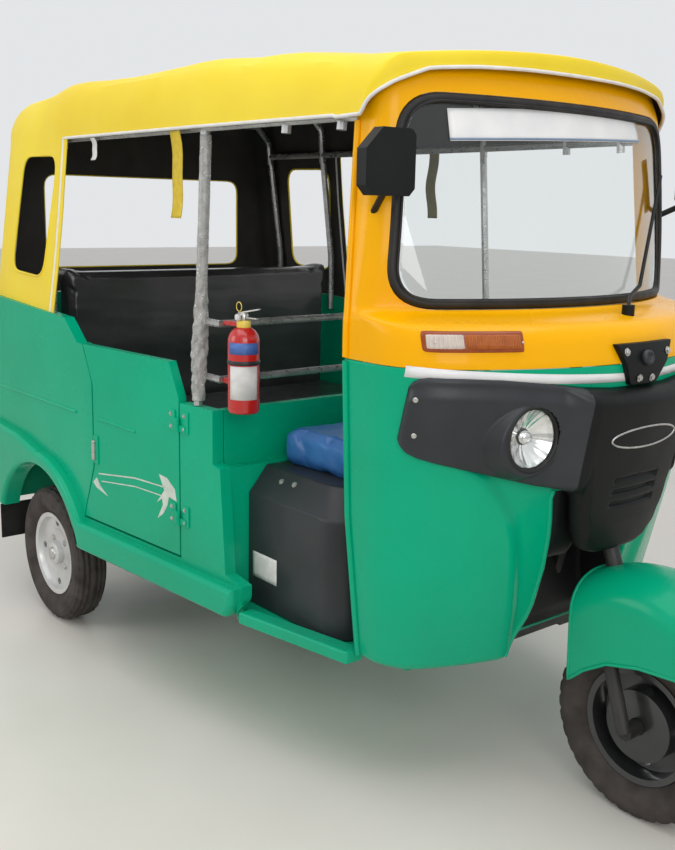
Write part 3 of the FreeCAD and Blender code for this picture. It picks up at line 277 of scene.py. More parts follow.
# Height, rear edge, half width, front, crown radius and corner radius.
COWL = ((0.352, 0.566, 0.492, 0.830, 0.900, 0.140), (0.728, 0.576, 0.545, 0.925, 0.850, 0.200),
        (1.104, 0.580, 0.566, 0.985, 0.900, 0.200), (1.192, 0.580, 0.566, 0.966, 0.900, 0.190),
        (1.214, 0.578, 0.562, 0.835, 0.850, 0.080), (1.690, 0.548, 0.515, 0.745, 1.200, 0.060),
        (1.772, 0.530, 0.500, 0.715, 1.300, 0.060))


def part_way(low, high, t):
    """A row that lies part of the way between two rows."""
    return [a + (b - a) * t for a, b in zip(low, high)]


def table_row(table, at):
    """The values of a table at a place between two of its rows."""
    for low, high in zip(table, table[1:]):
        if at <= high[0] or high is table[-1]:
            return part_way(low, high, (at - low[0]) / (high[0] - low[0]))[1:]


def cowl_row(z, grow=0.0):
    """The cowl's own values at a height, or those of a skin laid over it."""
    return [value + (grow if k else 0.0) for k, value in enumerate(table_row(COWL, z))]


def cowl_x(y, z, grow=0.0):
    """How far forward the cowl's skin, or a skin laid over it, is at a place across and a height."""
    rear, half, front, crown, corner = cowl_row(z, grow)
    reach = sqrt((crown - corner) ** 2 - (half - corner) ** 2)
    turn = atan2(half - corner, reach)
    if abs(y) <= crown * sin(turn):
        return front - crown + sqrt(crown ** 2 - y ** 2)
    return front - crown + reach + sqrt(max(0.0, corner ** 2 - (abs(y) - half + corner) ** 2))


def cowl_out(y, z, grow=0.0):
    """The direction that points straight out of the skin."""
    across = (cowl_x(y + 1e-3, z, grow) - cowl_x(y - 1e-3, z, grow)) / 2e-3
    up = (cowl_x(y, z + 1e-3, grow) - cowl_x(y, z - 1e-3, grow)) / 2e-3
    return Vector((1, -across, -up)).normalized()


def place(name, data, body):
    """An object for a mesh or a curve; it rides on a body unless it is only a part of a piece."""
    made = bpy.data.objects.new(name, data)
    scene.collection.objects.link(made)
    if body:
        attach(made, body)
    return made


def piece(name, spots, faces, finish, body, smooth=True, keep_sides=False):
    """A mesh piece from its corners and faces, joined, turned outwards and riding on a body."""
    mesh = bpy.data.meshes.new(name)
    mesh.from_pydata([tuple(p) for p in spots], [], faces)
    shape = bmesh.new()
    shape.from_mesh(mesh)
    bmesh.ops.remove_doubles(shape, verts=shape.verts, dist=2e-5)
    if not keep_sides:
        bmesh.ops.recalc_face_normals(shape, faces=shape.faces)
    for face in shape.faces:
        face.smooth = smooth
    shape.to_mesh(mesh)
    shape.free()
    mesh.materials.append(finish)
    return place(name, mesh, body)


def thicken(made, deep, side=0):
    """Gives a sheet its thickness: to both sides, or with -1 inwards."""
    wall = made.modifiers.new("wall", "SOLIDIFY")
    wall.thickness, wall.offset = deep, side
    return wall


def weave(across, along):
    """The faces of a grid of points with so many steps each way."""
    wide = across + 1
    return [(j * wide + i, j * wide + i + 1, (j + 1) * wide + i + 1, (j + 1) * wide + i)
            for j in range(along) for i in range(across)]


def patch(name, across, along, spot, finish, body, thick=0.0):
    """A sheet from a rule that gives the point at each step across and along."""
    spots = [spot(i / across, j / along) for j in range(along + 1) for i in range(across + 1)]
    made = piece(name, spots, weave(across, along), finish, body)
    if thick:
        thicken(made, thick)
    return made


def rounded(corners, radius, steps=5):
    """An outline whose corners are rounded."""
    smooth = []
    for k, spot in enumerate(corners):
        here, back, on = Vector(spot), Vector(corners[k - 1]), Vector(corners[(k + 1) % len(corners)])
        start = here + (back - here).normalized() * radius
        end = here + (on - here).normalized() * radius
        for m in range(steps + 1):
            t = m / steps
            smooth.append(tuple(start * (1 - t) ** 2 + here * 2 * t * (1 - t) + end * t * t))
    return smooth


def solid_mesh(made):
    """The mesh that a curve or a piece with modifiers comes to."""
    bpy.context.view_layer.update()
    return bpy.data.meshes.new_from_object(made.evaluated_get(bpy.context.evaluated_depsgraph_get()))


def settle(made):
    """Turns a piece's modifiers into its mesh."""
    solid = solid_mesh(made)
    made.modifiers.clear()
    made.data = solid


def cutter(outline, axis, low, high, finish):
    """A closed prism along Y or X through an outline."""
    count = len(outline)
    ends = [(a, low, b) if axis == "y" else (low, a, b) for a, b in outline]
    ends += [(a, high, b) if axis == "y" else (high, a, b) for a, b in outline]
    walls = [(k, (k + 1) % count, (k + 1) % count + count, k + count) for k in range(count)]
    caps = [tuple(range(count)), tuple(range(count, 2 * count))]
    return piece("cutter", ends, walls + caps, finish, None)


def oval(across, up, wide, tall, count):
    """Points round an oval of a half width and a half height."""
    return [(across + wide * cos(2 * pi * k / count), up + tall * sin(2 * pi * k / count))
            for k in range(count)]


def carve(made, *tools):
    """Cuts holes and leaves the piece evenly shaded up to its creases."""
    for tool in tools:
        bite = made.modifiers.new("bite", "BOOLEAN")
        bite.operation, bite.object, bite.solver = "DIFFERENCE", tool, "EXACT"
    settle(made)
    for tool in tools:
        bpy.data.objects.remove(tool)
    for face in made.data.polygons:
        face.use_smooth = True
    made.modifiers.new("even", "NODES").node_group = smooth_tree
    settle(made)


CROWN_END, CORNER_END = 0.50, 0.78


def ring_spot(run, z, row, grow=0.0):
    """A point round the cowl: run goes from -1 at the right rear edge over the front to 1 at the left."""
    rear, half, front, crown, corner = [value + (grow if k else 0.0) for k, value in enumerate(row)]
    reach = sqrt((crown - corner) ** 2 - (half - corner) ** 2)
    turn, mid, side = atan2(half - corner, reach), front - crown, 1 if run > 0 else -1
    step = abs(run)
    if step < CROWN_END:
        angle = turn * step / CROWN_END
        return Vector((mid + crown * cos(angle), side * crown * sin(angle), z))
    if step < CORNER_END:
        angle = turn + (pi / 2 - turn) * (step - CROWN_END) / (CORNER_END - CROWN_END)
        return Vector((mid + reach + corner * cos(angle), side * (half - corner + corner * sin(angle)), z))
    x = mid + reach + (rear - mid - reach) * (step - CORNER_END) / (1 - CORNER_END)
    return Vector((x, side * half, z))


def ease(value):
    """A soft step from 0 to 1."""
    value = max(0.0, min(1.0, value))
    return value * value * (3 - 2 * value)


def along_line(points, at):
    """The height of a line of points at a place across."""
    for (a, low), (b, high) in zip(points, points[1:]):
        if at <= b:
            return low + (high - low) * (at - a) / (b - a)
    return points[-1][1]


CHANNEL = ((0.300, 0.200), (0.412, 0.211), (0.499, 0.225), (0.584, 0.243), (0.680, 0.269), (0.746, 0.297),
           (0.798, 0.330), (0.854, 0.380), (0.900, 0.450), (1.200, 0.600))


def channel(y, z):
    """How deep the leg shield falls away beside the wheel slot, where the front wheel turns."""
    return 0.017 * ease((along_line(CHANNEL, z) - abs(y)) / 0.040 + 0.5) * ease((0.90 - z) / 0.03)


SHEET = 0.018


def shell(name, rows, finish, dip=None):
    """A smooth wall through rows of height, growth and plan, with its thickness turned inwards."""
    steps = 220
    spots = []
    for z, grow, row in rows:
        for run in [-1 + 2 * k / steps for k in range(steps + 1)]:
            at = ring_spot(run, z, row, grow)
            if dip and dip(at.y, z) and abs(run) < CORNER_END:
                at = ring_spot(run, z, row, grow - dip(at.y, z))
            spots.append(at)
    made = piece(name, spots, weave(steps, len(rows) - 1), finish, "body", keep_sides=True)
    thicken(made, SHEET, -1)
    return made


# The foot of the leg shield is rolled inwards, and its top is folded in behind the yellow scuttle.
foot = [pi / 2 * k / 6 for k in range(6)]
heights = [(0.352 + 0.022 * (1 - cos(t)), -0.020 * (1 - sin(t))) for t in foot]
heights += [(0.374 + 0.724 * k / 66, 0.0) for k in range(67)] + [(1.1010, -0.0006), (1.1030, -0.0024)]
leg_shield = shell("leg_shield", [(z, grow, cowl_row(z)) for z, grow in heights], green_enamel, channel)
SLOT = ((0.332, 0.226), (0.430, 0.185), (0.462, 0.171), (0.500, 0.163), (0.600, 0.162), (0.680, 0.171),
        (0.735, 0.182), (0.786, 0.192), (0.803, 0.188))
LAMP_Y, LAMP_Z = 0.306, 0.947
slot_line = [(-y, z) for z, y in reversed(SLOT)] + [(y, z) for z, y in SLOT]
column_line = oval(0, 0.66, 0.040, 0.07, 24)
openings = [cutter(line, "x", 0.62, 1.3, green_enamel) for line in (slot_line, column_line)]
openings += [cutter(oval(side * LAMP_Y, LAMP_Z, 0.066, 0.066, 40), "x", 0.70, 1.3, green_enamel)
             for side in (-1, 1)]
carve(leg_shield, *openings)
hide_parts("cowl_lower")


def even_steps(points, step, closed=True):
    """More points along straight runs, so that a line can follow a curved skin."""
    line, ends = [], points + points[:1] if closed else points
    for a, b in zip(ends, ends[1:]):
        parts = max(1, int((Vector(b) - Vector(a)).length / step))
        line += [tuple(Vector(a).lerp(Vector(b), m / parts)) for m in range(parts)]
    return line if closed else line + [points[-1]]


def rope(name, points, radius, finish, body, closed=False, sides=8):
    """A round welt, tube or rod along a line of points."""
    line = bpy.data.curves.new(name, "CURVE")
    line.dimensions, line.use_fill_caps = "3D", True
    line.bevel_depth, line.bevel_resolution = radius, max(0, sides // 4 - 1)
    run = line.splines.new("POLY")
    run.points.add(len(points) - 1)
    for spot, at in zip(run.points, points):
        spot.co = (*at, 1)
    run.use_cyclic_u = closed
    line.materials.append(finish)
    curve = place(name, line, None)
    mesh = solid_mesh(curve)
    bpy.data.objects.remove(curve)
    for face in mesh.polygons:
        face.use_smooth = True
    return place(name, mesh, body)


for side, tag in SIDES:
    lip = [(along_line(SLOT, z), z) for z in (0.364, 0.430, 0.462, 0.500, 0.600, 0.680, 0.735, 0.786, 0.806)]
    lip = [(cowl_x(y, z) - channel(y, z) - 0.003, side * (y + 0.002), z)
           for y, z in even_steps(lip, 0.012, False)]
    rope("slot_lip_" + tag, lip, 0.0075, green_enamel, "body", sides=12)
    for part, foot, tall, paint in (("low", 0.362, 0.737, green_enamel),
                                    ("high", 1.108, 0.520, yellow_enamel)):
        edge = [foot + tall * k / 24 for k in range(25)]
        edge = [(cowl_row(z)[0] + 0.006, side * (cowl_row(z)[1] + 0.002), z) for z in edge]
        rope("door_edge_" + part + "_" + tag, edge, 0.0075, paint, "body", sides=12)


def bend_row(marks, line, k, before, after, steps):
    """Rounds the fold of the cowl at one of its rows."""
    start, end = part_way(marks[k], marks[k - 1], before), part_way(marks[k], marks[k + 1], after)
    for t in [m / steps for m in range(steps + 1)]:
        line.append([p * (1 - t) ** 2 + q * 2 * t * (1 - t) + r * t * t
                     for p, q, r in zip(start, marks[k], end)])


def screen_line(inset):
    """The rounded outline of the windscreen's opening, or one drawn inside it."""
    low, high, foot, top = 1.219 + inset, 1.692 - inset, 0.522 - inset, 0.488 - inset
    return rounded([(-foot, low), (foot, low), (top, high), (-top, high)], 0.105 - inset, 10)


marks = [[z] + cowl_row(z) for z in (1.104, 1.192, 1.214, 1.690, 1.7719)]
line = [part_way(marks[0], marks[1], t) for t in (0.0, 0.012, 0.03, 0.2, 0.4)]
bend_row(marks, line, 1, 0.5, 0.30, 8)
bend_row(marks, line, 2, 0.20, 0.035, 5)
line += [part_way(marks[2], marks[3], 0.1 + 0.8 * k / 16) for k in range(17)]
bend_row(marks, line, 3, 0.06, 0.35, 4)
line.append(marks[4])
rows = [(row[0], (-0.0024, -0.0006)[k] if k < 2 else 0.0, row[1:]) for k, row in enumerate(line)]
screen_frame = shell("screen_frame", rows, yellow_enamel)
# The frame's top edge falls away towards its corners.
for spot in screen_frame.data.vertices:
    spot.co.z -= 0.030 * ease((abs(spot.co.y) - 0.36) / 0.16) * max(0.0, spot.co.z - 1.690) / 0.082
carve(screen_frame, cutter(screen_line(0.0), "x", 0.45, 1.2, yellow_enamel))
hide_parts("cowl_upper")

white_film = coat("white_film", (12,), (0.80, 0.81, 0.82), (0.90, 0.90, 0.89), None, [((30,), 0.0005, 0.4)],
                  Roughness=0.35)


def waist_stripe(u, v):
    """The pale band along the top of the mask, which rises a little towards its ends."""
    y = 0.548 - 1.096 * u
    z = 1.071 + 0.026 * (abs(y) / 0.55) ** 1.5 + (0.019 + 0.006 * abs(y) / 0.55) * (v - 0.5)
    return Vector((cowl_x(y, z) + 0.0012, y, z))


patch("waist_stripe", 60, 2, waist_stripe, white_film, "body", 0.001)

# Front mudguard: one deep pressing bent round the wheel, crowned from side to side, with its edge
# rolled over a wire. The fork's stem passes through its top and carries it.


def join(name, parts, body):
    """One piece from several, where each face keeps its finish."""
    shape, finishes, done = bmesh.new(), [], 0
    for part in parts:
        if part.modifiers:
            settle(part)
        shape.from_mesh(part.data)
        shape.faces.ensure_lookup_table()
        for finish in part.data.materials:
            if finish not in finishes:
                finishes.append(finish)
        own = [finishes.index(finish) for finish in part.data.materials]
        for face in shape.faces[done:]:
            face.material_index = own[face.material_index]
        done = len(shape.faces)
        bpy.data.objects.remove(part)
    mesh = bpy.data.meshes.new(name)
    shape.to_mesh(mesh)
    shape.free()
    for finish in finishes:
        mesh.materials.append(finish)
    return place(name, mesh, body)


FRONT_AXLE, AXLE_Z, GUARD_HALF = 1.075, 0.235, 0.120
GUARD_FOOT = ((-0.152, 0.088), (-0.110, 0.126), (-0.047, 0.165), (0.040, 0.186), (0.137, 0.193),
              (0.300, 0.186))


def guard_ring(y):
    """The crowned section: how far from the axle the guard is, at a place across."""
    return 0.300 + 0.085 * max(0.0, 1 - abs(y / GUARD_HALF) ** 2.6) ** (1 / 2.2)


def guard_spot(u, v):
    """Across the guard from the foot of one skirt to the other, and along it from tip to tail."""
    side, skirt = (-1, 1 - u / 0.15) if u < 0.15 else (1, (u - 0.85) / 0.15)
    if skirt > 0:
        reach = 0.236 - 0.388 * v
        foot = Vector((FRONT_AXLE + reach, side * GUARD_HALF, AXLE_Z + along_line(GUARD_FOOT, reach)))
        return guard_spot(0.15 if side < 0 else 0.85, v).lerp(foot, skirt)
    y = GUARD_HALF * sin(pi * ((u - 0.15) / 0.7 - 0.5))
    ring = guard_ring(y)
    back = pi - acos(0.157 / ring)
    front = acos(0.300 / 0.385) - radians(4) * sin(pi * abs(y / GUARD_HALF)) ** 2
    turn = front + (back - front) * v
    return Vector((FRONT_AXLE + ring * cos(turn), y, AXLE_Z + ring * sin(turn)))


guard = patch("front_guard", 80, 60, guard_spot, green_enamel, None)
thicken(guard, 0.005, -1)
edge = [guard_spot(0, k / 60) for k in range(61)] + [guard_spot(k / 60, 1) for k in range(1, 61)]
edge += [guard_spot(1, 1 - k / 60) for k in range(1, 61)] + [guard_spot(1 - k / 60, 0) for k in range(10, 51)]
edge = [at + Vector((0, -0.002 * at.y / GUARD_HALF, 0)) for at in edge]
rolled_wire = rope("rolled_wire", edge, 0.0045, green_enamel, None, True, 12)
guard = join("front_guard", [guard, rolled_wire], "steering")
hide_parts("front_mudguard")

# Dark mouldings: the lamp mask, nose, centre plate, dashboard, mirror shells and the box under the
# driver are injection moulded in black plastic with a fine satin grain, held by screws. The mud
# flaps are soft rubber.
satin_plastic = coat("satin_plastic", (6, 5), (0.020, 0.023, 0.026), (0.032, 0.036, 0.041),
                     ((9,), 0.34, 0.48), [((700, 2), 0.0003, 0.5)], Specular_IOR_Level=0.38)
dress("dashboard underseat_box", satin_plastic, 0.006)
nose_plastic = coat("nose_plastic", (6, 5), (0.004, 0.005, 0.005), (0.008, 0.009, 0.009),
                    ((9,), 0.40, 0.52), [((700, 2), 0.0003, 0.5)], Specular_IOR_Level=0.2)
dress("centre_bracket wiper handlebar", nose_plastic, 0.003)

FACE_TOP = ((0.0, 1.0470), (0.10, 1.0475), (0.184, 1.0540), (0.290, 1.0680), (0.390, 1.0790),
            (0.470, 1.0830), (0.532, 1.0840), (0.5450, 1.0800), (0.5530, 1.0720), (0.5560, 1.0600))
FACE_FOOT = ((0.0, 0.6360), (0.070, 0.6380), (0.100, 0.6480), (0.125, 0.6720), (0.143, 0.7080),
             (0.155, 0.7480), (0.163, 0.7820), (0.172, 0.8010), (0.190, 0.8100), (0.274, 0.8280),
             (0.412, 0.8670), (0.500, 0.8910), (0.528, 0.9010), (0.5440, 0.9120), (0.5530, 0.9280),
             (0.5560, 0.9420))
FACE_HALF, WING, MIX = 0.556, 0.0175, 0.010


def face_height(y, z, rim):
    """How proud of the green skin the face moulding stands: flat wings, a swelling round each lamp, a
    ledge along the top and the nose between the lamps with its three louvres."""
    side = abs(y)
    proud = WING - 0.009 * ease((z - along_line(FACE_TOP, side) + 0.046) / 0.034) * ease((side - 0.19) / 0.05)
    nose = ease((0.252 - side) / 0.088)
    proud += (0.0515 - proud) * nose
    out = Vector((side - LAMP_Y, z - LAMP_Z)).length
    plane = 0.890 + 0.0410 - 0.1228 * (side - LAMP_Y) - 0.075 * max(0.0, out - 0.080) / 0.048
    over = plane - cowl_x(side, z)
    if over > proud - MIX:
        blend = ease((over - proud + MIX) / (2 * MIX))
        proud = proud * (1 - blend) + max(over, proud) * blend
    for slit in (0.775, 0.805, 0.835):
        proud -= 0.013 * ease(1.0 - abs(z - slit) / 0.0075) ** 0.5 * ease((0.083 - side) / 0.008)
    soft = min(1.0, rim / (0.011 + 0.020 * nose))
    return 0.0004 + proud * sqrt(max(0.0, 1 - (1 - soft) ** 2))


def face_spot(u, v):
    """Across the whole face moulding and from its foot to its top, rounded off along its rim."""
    y = FACE_HALF * (2 * u - 1)
    side = abs(y)
    low, high = along_line(FACE_FOOT, side), along_line(FACE_TOP, side)
    z = low + (high - low) * (v - 0.05 * sin(2 * pi * v))
    slope = (along_line(FACE_FOOT, min(FACE_HALF, side + 0.003)) - low) / 0.003
    rim = min((z - low) / sqrt(1 + slope * slope), high - z, FACE_HALF + 0.0002 - side)
    return Vector((cowl_x(y, z, WING), y, z)) + cowl_out(y, z, WING) * (face_height(y, z, rim) - WING)


LAMP_TURN = radians(7)
LAMPS = [(Vector((0.890, side * LAMP_Y, LAMP_Z)), Vector((cos(LAMP_TURN), side * sin(LAMP_TURN), 0)))
         for side in (-1, 1)]
face = patch("face_moulding", 300, 116, face_spot, satin_plastic, "body")
open_face = bmesh.new()
open_face.from_mesh(face.data)
gone = [f for f in open_face.faces
        if any((f.calc_center_median() - at).cross(out).length < 0.0715 for at, out in LAMPS)]
bmesh.ops.delete(open_face, geom=gone, context="FACES")
open_face.to_mesh(face.data)
open_face.free()
thicken(face, 0.0028, -1)
settle(face)
face.data.materials.append(nose_plastic)
for polygon in face.data.polygons:
    polygon.material_index = int(abs(polygon.center.y) < 0.19)
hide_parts("headlamp_mask", "nose_grille")
dress("mirrors", nose_plastic, 0.008)

soft_rubber = coat("soft_rubber", (20, 4), (0.010, 0.010, 0.010), (0.022, 0.021, 0.020), ((30,), 0.45, 0.6),
                   [((300, 2), 0.0003)], Specular_IOR_Level=0.35)
dress("mud_flaps", soft_rubber, 0.003)

# Windscreen: one laminated pane, bowed with the cowl and held in its opening by a black rubber gasket
# with a second lip. A plain white strip with a blue border is stuck along the pane's top.
clear_pane = coat("clear_pane", (4,), (0.93, 0.97, 0.95), (0.95, 0.98, 0.97),
                  Transmission_Weight=1.0, Roughness=0.0, IOR=1.45)

gasket_line = [(cowl_x(y, z) - 0.006, y, z) for y, z in even_steps(screen_line(0.0125), 0.02)]
gasket = rope("screen_gasket", gasket_line, 0.0122, soft_rubber, "body", True, 12)
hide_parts("windscreen_seal")
lip_line = [(cowl_x(y, z) + 0.003, y, z) for y, z in even_steps(screen_line(0.0185), 0.02)]
rope("gasket_lip", lip_line, 0.0035, soft_rubber, "body", True, 8)

PANE_LOW, PANE_HIGH = 1.231, 1.680


def screen_half(z):
    """Half width of the pane at a height, inside the gasket's rounded corners."""
    bend = 0.085
    half = 0.509 - 0.033 * (z - PANE_LOW) / (PANE_HIGH - PANE_LOW)
    edge = min(z - PANE_LOW, PANE_HIGH - z)
    return half if edge >= bend else half - bend + sqrt(max(0.0, bend ** 2 - (bend - edge) ** 2))


def screen_spot(u, v):
    """The pane, with its rows set closer towards its top and foot."""
    z = PANE_LOW + (PANE_HIGH - PANE_LOW) * (0.5 - 0.5 * cos(pi * v))
    y = (2 * u - 1) * screen_half(z)
    return Vector((cowl_x(y, z) - 0.0085, y, z))


pane = patch("screen_pane", 48, 30, screen_spot, clear_pane, "body", 0.005)
pane.visible_shadow = False
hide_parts("windscreen_glass")


def banner_spot(u, v):
    """The strip inside the pane's top, its corners as measured, kept below the pane's edge."""
    low = Vector((-0.372, 1.588)).lerp(Vector((0.305, 1.619)), u)
    high = Vector((-0.375, 1.658)).lerp(Vector((0.280, 1.692)), u)
    y, z = low.lerp(high, v)
    return Vector((cowl_x(y, z) - 0.0045, y, min(z, 1.679)))


patch("banner_strip", 40, 6, banner_spot, white_film, "body", 0.0006)
border_blue = coat("border_blue", (10,), (0.16, 0.24, 0.36), (0.20, 0.29, 0.42), None, [((90,), 0.0003)],
                   Roughness=0.4)
patch("banner_border", 40, 2, lambda u, v: banner_spot(u, 0.02 + 0.07 * v) + Vector((0.0007, 0, 0)),
      border_blue, "body", 0.0005)

# Liner behind the wheel slot: one folded sheet of black plastic, clipped inside the leg shield. A
# cheek on each side closes the slot's upper end behind the nose.


def liner_spot(u, v):
    """From one flank round the back of the slot to the other, and upwards."""
    z = 0.362 + 0.445 * v
    half = along_line(SLOT, z) + 0.012
    run = 4 * abs(u - 0.5)
    side = 1 if u > 0.5 else -1
    front, back = cowl_x(half, z) - 0.026, 0.700 + 0.030 * ease((z - 0.70) / 0.1)
    if run < 1:
        return Vector((back + 0.012 * run ** 6, side * half * run * (1 - 0.04 * run ** 6), z))
    return Vector((back + 0.012 + (front - back - 0.012) * (run - 1), side * half, z))


def cheek_spot(side):
    """The rule of one cheek, whose foot is rolled back."""
    def spot(u, v):
        z = 0.612 + 0.195 * v
        y = 0.080 + (along_line(SLOT, z) + 0.008 - 0.080) * u
        rise = 0.030 * (1 - sqrt(max(0.0, 1 - (1 - min(1.0, v * 4)) ** 2)))
        return Vector((cowl_x(y, z) - 0.024 - rise - 0.012 * ease(u * 3 - 2), side * y, z))
    return spot


patch("slot_liner", 64, 12, liner_spot, nose_plastic, "body", 0.003)
for side, tag in SIDES:
    patch("slot_cheek_" + tag, 20, 24, cheek_spot(side), nose_plastic, "body", 0.003)

# Screws of the mask, the plate's bolts and its bright boss, and the plain oval ring on the nose.
# All are small bought parts, so one head of each kind is repeated wherever it is driven in.
plated_steel = coat("plated_steel", (60, 4), (0.44, 0.43, 0.41), (0.62, 0.61, 0.58), ((90,), 0.22, 0.42),
                    [((400, 2), 0.0001)], Metallic=0.9)


def lathe(name, profile, count, at, finish, body, notch=None, loop=True, towards=(0, 1, 0)):
    """A profile of radius and place along an axis, turned round it; a closed profile makes a ring."""
    turn = Vector((0, 1, 0)).rotation_difference(Vector(towards)).to_matrix()
    rings = []
    for k in range(count):
        angle = 2 * pi * k / count
        for m, (radius, along) in enumerate(profile):
            depth = notch(k, m) if notch else 0.0
            spot = Vector(((radius - depth) * cos(angle), along, (radius - depth) * sin(angle)))
            rings.append(turn @ spot + Vector(at))
    size = len(profile)
    faces = []
    for k in range(count):
        here, beyond = k * size, (k + 1) % count * size
        for m in range(size if loop else size - 1):
            above = (m + 1) % size
            faces.append((here + m, here + above, beyond + above, beyond + m))
    return piece(name, rings, faces, finish, body)


def typed(sockets, kind):
    """The sockets of a kind, of a node that keeps one for each kind of value."""
    return [socket for socket in sockets if socket.type == kind]


def repeat_tree():
    """A tree that sets a copy of a small part on every point, standing along the point's own direction."""
    tree, source, target = node_group("repeat_part", Geometry="Geometry", Part="Object", Finish="Material",
                                      Size="Float", Spin="Float", Seed="Int")
    part = add(tree, "GeometryNodeObjectInfo", {"Object": source["Part"]})
    facing = add(tree, "GeometryNodeInputNamedAttribute", {"Name": "facing"}, data_type="FLOAT_VECTOR")
    aim = add(tree, "FunctionNodeAlignRotationToVector",
              {"Vector": typed(facing.outputs, "VECTOR")[0]}, axis="Z")
    copies = add(tree, "GeometryNodeInstanceOnPoints",
                 {"Points": source["Geometry"], "Instance": part.outputs["Geometry"],
                  "Rotation": aim.outputs["Rotation"], "Scale": source["Size"]})
    chance = add(tree, "FunctionNodeRandomValue", {"Seed": source["Seed"]})
    low, high = typed(chance.inputs, "VALUE")[:2]
    low.default_value = 0.0
    tree.links.new(source["Spin"], high)
    about = add(tree, "ShaderNodeCombineXYZ", {"Z": typed(chance.outputs, "VALUE")[0]})
    turned = add(tree, "GeometryNodeRotateInstances",
                 {"Instances": copies.outputs["Instances"], "Rotation": about.outputs["Vector"]})
    real = add(tree, "GeometryNodeRealizeInstances", {"Geometry": turned.outputs["Instances"]})
    painted = add(tree, "GeometryNodeSetMaterial",
                  {"Geometry": real.outputs["Geometry"], "Material": source["Finish"]})
    tree.links.new(painted.outputs["Geometry"], target)
    return tree


small_parts = repeat_tree()


def repeat(name, part, places, finish, body, size=1.0, spin=0.0, seed=1):
    """Copies of a small part at places, each given as a point and the direction it stands along."""
    mesh = bpy.data.meshes.new(name)
    mesh.from_pydata([tuple(at) for at, out in places], [], [])
    facing = mesh.attributes.new("facing", "FLOAT_VECTOR", "POINT")
    for k, (at, out) in enumerate(places):
        facing.data[k].vector = out
    made = place(name, mesh, None)
    rows = made.modifiers.new("rows", "NODES")
    rows.node_group = small_parts
    sockets = {item.name: item.identifier for item in small_parts.interface.items_tree
               if item.in_out == "INPUT"}
    for label, value in (("Part", part), ("Finish", finish), ("Size", size), ("Spin", spin), ("Seed", seed)):
        rows[sockets[label]] = value
    settle(made)
    for face in made.data.polygons:
        face.use_smooth = face.area < 4e-6
    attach(made, body)
    return made


def small_head(name, radius, tall, hexagon=False):
    """A domed screw's head or a hexagon bolt's on its washer, standing on the origin along Z."""
    profile = [(0.0, 0.0), (radius, 0.0), (radius, tall * 0.55), (radius * 0.8, tall * 0.9), (0.0, tall)]
    if hexagon:
        washer, thin = radius * 1.5, tall * 0.2
        profile = [(0.0, 0.0), (washer, 0.0), (washer, thin), (radius, tall * 0.22), (radius, tall * 0.85),
                   (radius * 0.86, tall), (0.0, tall)]
    sides = 6 if hexagon else 14
    head = lathe(name, profile, sides, (0, 0, 0), plated_steel, None, loop=False, towards=(0, 0, 1))
    head.hide_render = True
    return head


screw_head = small_head("screw_head", 0.0062, 0.0036)
bolt_head = small_head("bolt_head", 0.0066, 0.0058, hexagon=True)


def on_cowl(y, z, grow):
    """A point proud of the cowl's skin, and the direction straight out of it."""
    return Vector((cowl_x(y, z, grow), y, z)), cowl_out(y, z, grow)


mask_places = [on_cowl(side * y, z, 0.0181) for side in (-1, 1) for y, z in ((0.543, 1.038), (0.536, 0.957))]
repeat("mask_screws", screw_head, mask_places, plated_steel, "body", 1.0, 3.0, 4)
plate_places = [on_cowl(y, z, 0.0161)
                for y, z in ((-0.077, 1.132), (0.080, 1.126), (-0.026, 1.069), (0.022, 1.067))]
repeat("plate_bolts", bolt_head, plate_places, plated_steel, "body", 1.0, 1.0, 7)
boss_at, boss_out = on_cowl(-0.008, 1.116, 0.0160)
boss_line = [(0.0, 0.006), (0.008, 0.006), (0.010, 0.0105), (0.0125, 0.0115), (0.0155, 0.0100),
             (0.0180, 0.004), (0.0190, -0.002), (0.0, -0.002)]
lathe("plate_boss", boss_line, 32, boss_at, satin_plastic, "body", loop=False, towards=boss_out)
nose_ring = [(cowl_x(y, z, 0.0525), y, z) for y, z in oval(0, 0.932, 0.122, 0.0245, 72)]
rope("nose_ring", nose_ring, 0.0026, plated_steel, "body", True, 12)

# Headlamps: a domed glass pressed into a black rim, over a fluted bowl of bright metal with the
# bulb's cap in its middle. Each is held from behind the mask and looks a little outwards.
bright_bowl = coat("bright_bowl", (20,), (0.76, 0.76, 0.74), (0.86, 0.86, 0.85), None,
                   [((60, 2), 0.0002, 0.5)], Metallic=1.0, Roughness=0.12)
lamp_glass = coat("lamp_glass", (30,), (0.95, 0.97, 0.97), (0.98, 0.99, 0.99), None,
                  [((70, 1), 0.0006, 0.4)], Transmission_Weight=1.0, Roughness=0.02, IOR=1.45)
bowl_line = [(0.066 * k / 10, 0.0315 * (k / 10) ** 2 + 0.002) for k in range(3, 11)]
rim_ring = [(0.0665, 0.0325), (0.0670, 0.0395), (0.0685, 0.0425), (0.0720, 0.0440), (0.0760, 0.0430),
            (0.0785, 0.0390), (0.0785, 0.0300), (0.0700, 0.0280), (0.0680, 0.0290)]
bulb_line = [(0.0, 0.0235), (0.0085, 0.0232), (0.0125, 0.0215), (0.0150, 0.0175), (0.0155, 0.0100),
             (0.0150, 0.0020)]
dome_line = [(0.0675 * sin(k * pi / 20), 0.0345 + 0.0125 * cos(k * pi / 20) ** 1.6) for k in range(11)]
dome_line += [(r * 0.985, a - 0.0026) for r, a in reversed(dome_line)]
seat_line = [(0.0, 0.0015), (0.0700, 0.0010), (0.0705, 0.0300)]
bowls, domes = [], []


def flute(k, m):
    """The shallow flutes pressed into the bowl, two steps in every four."""
    return 0.0013 if k % 4 < 2 else 0.0


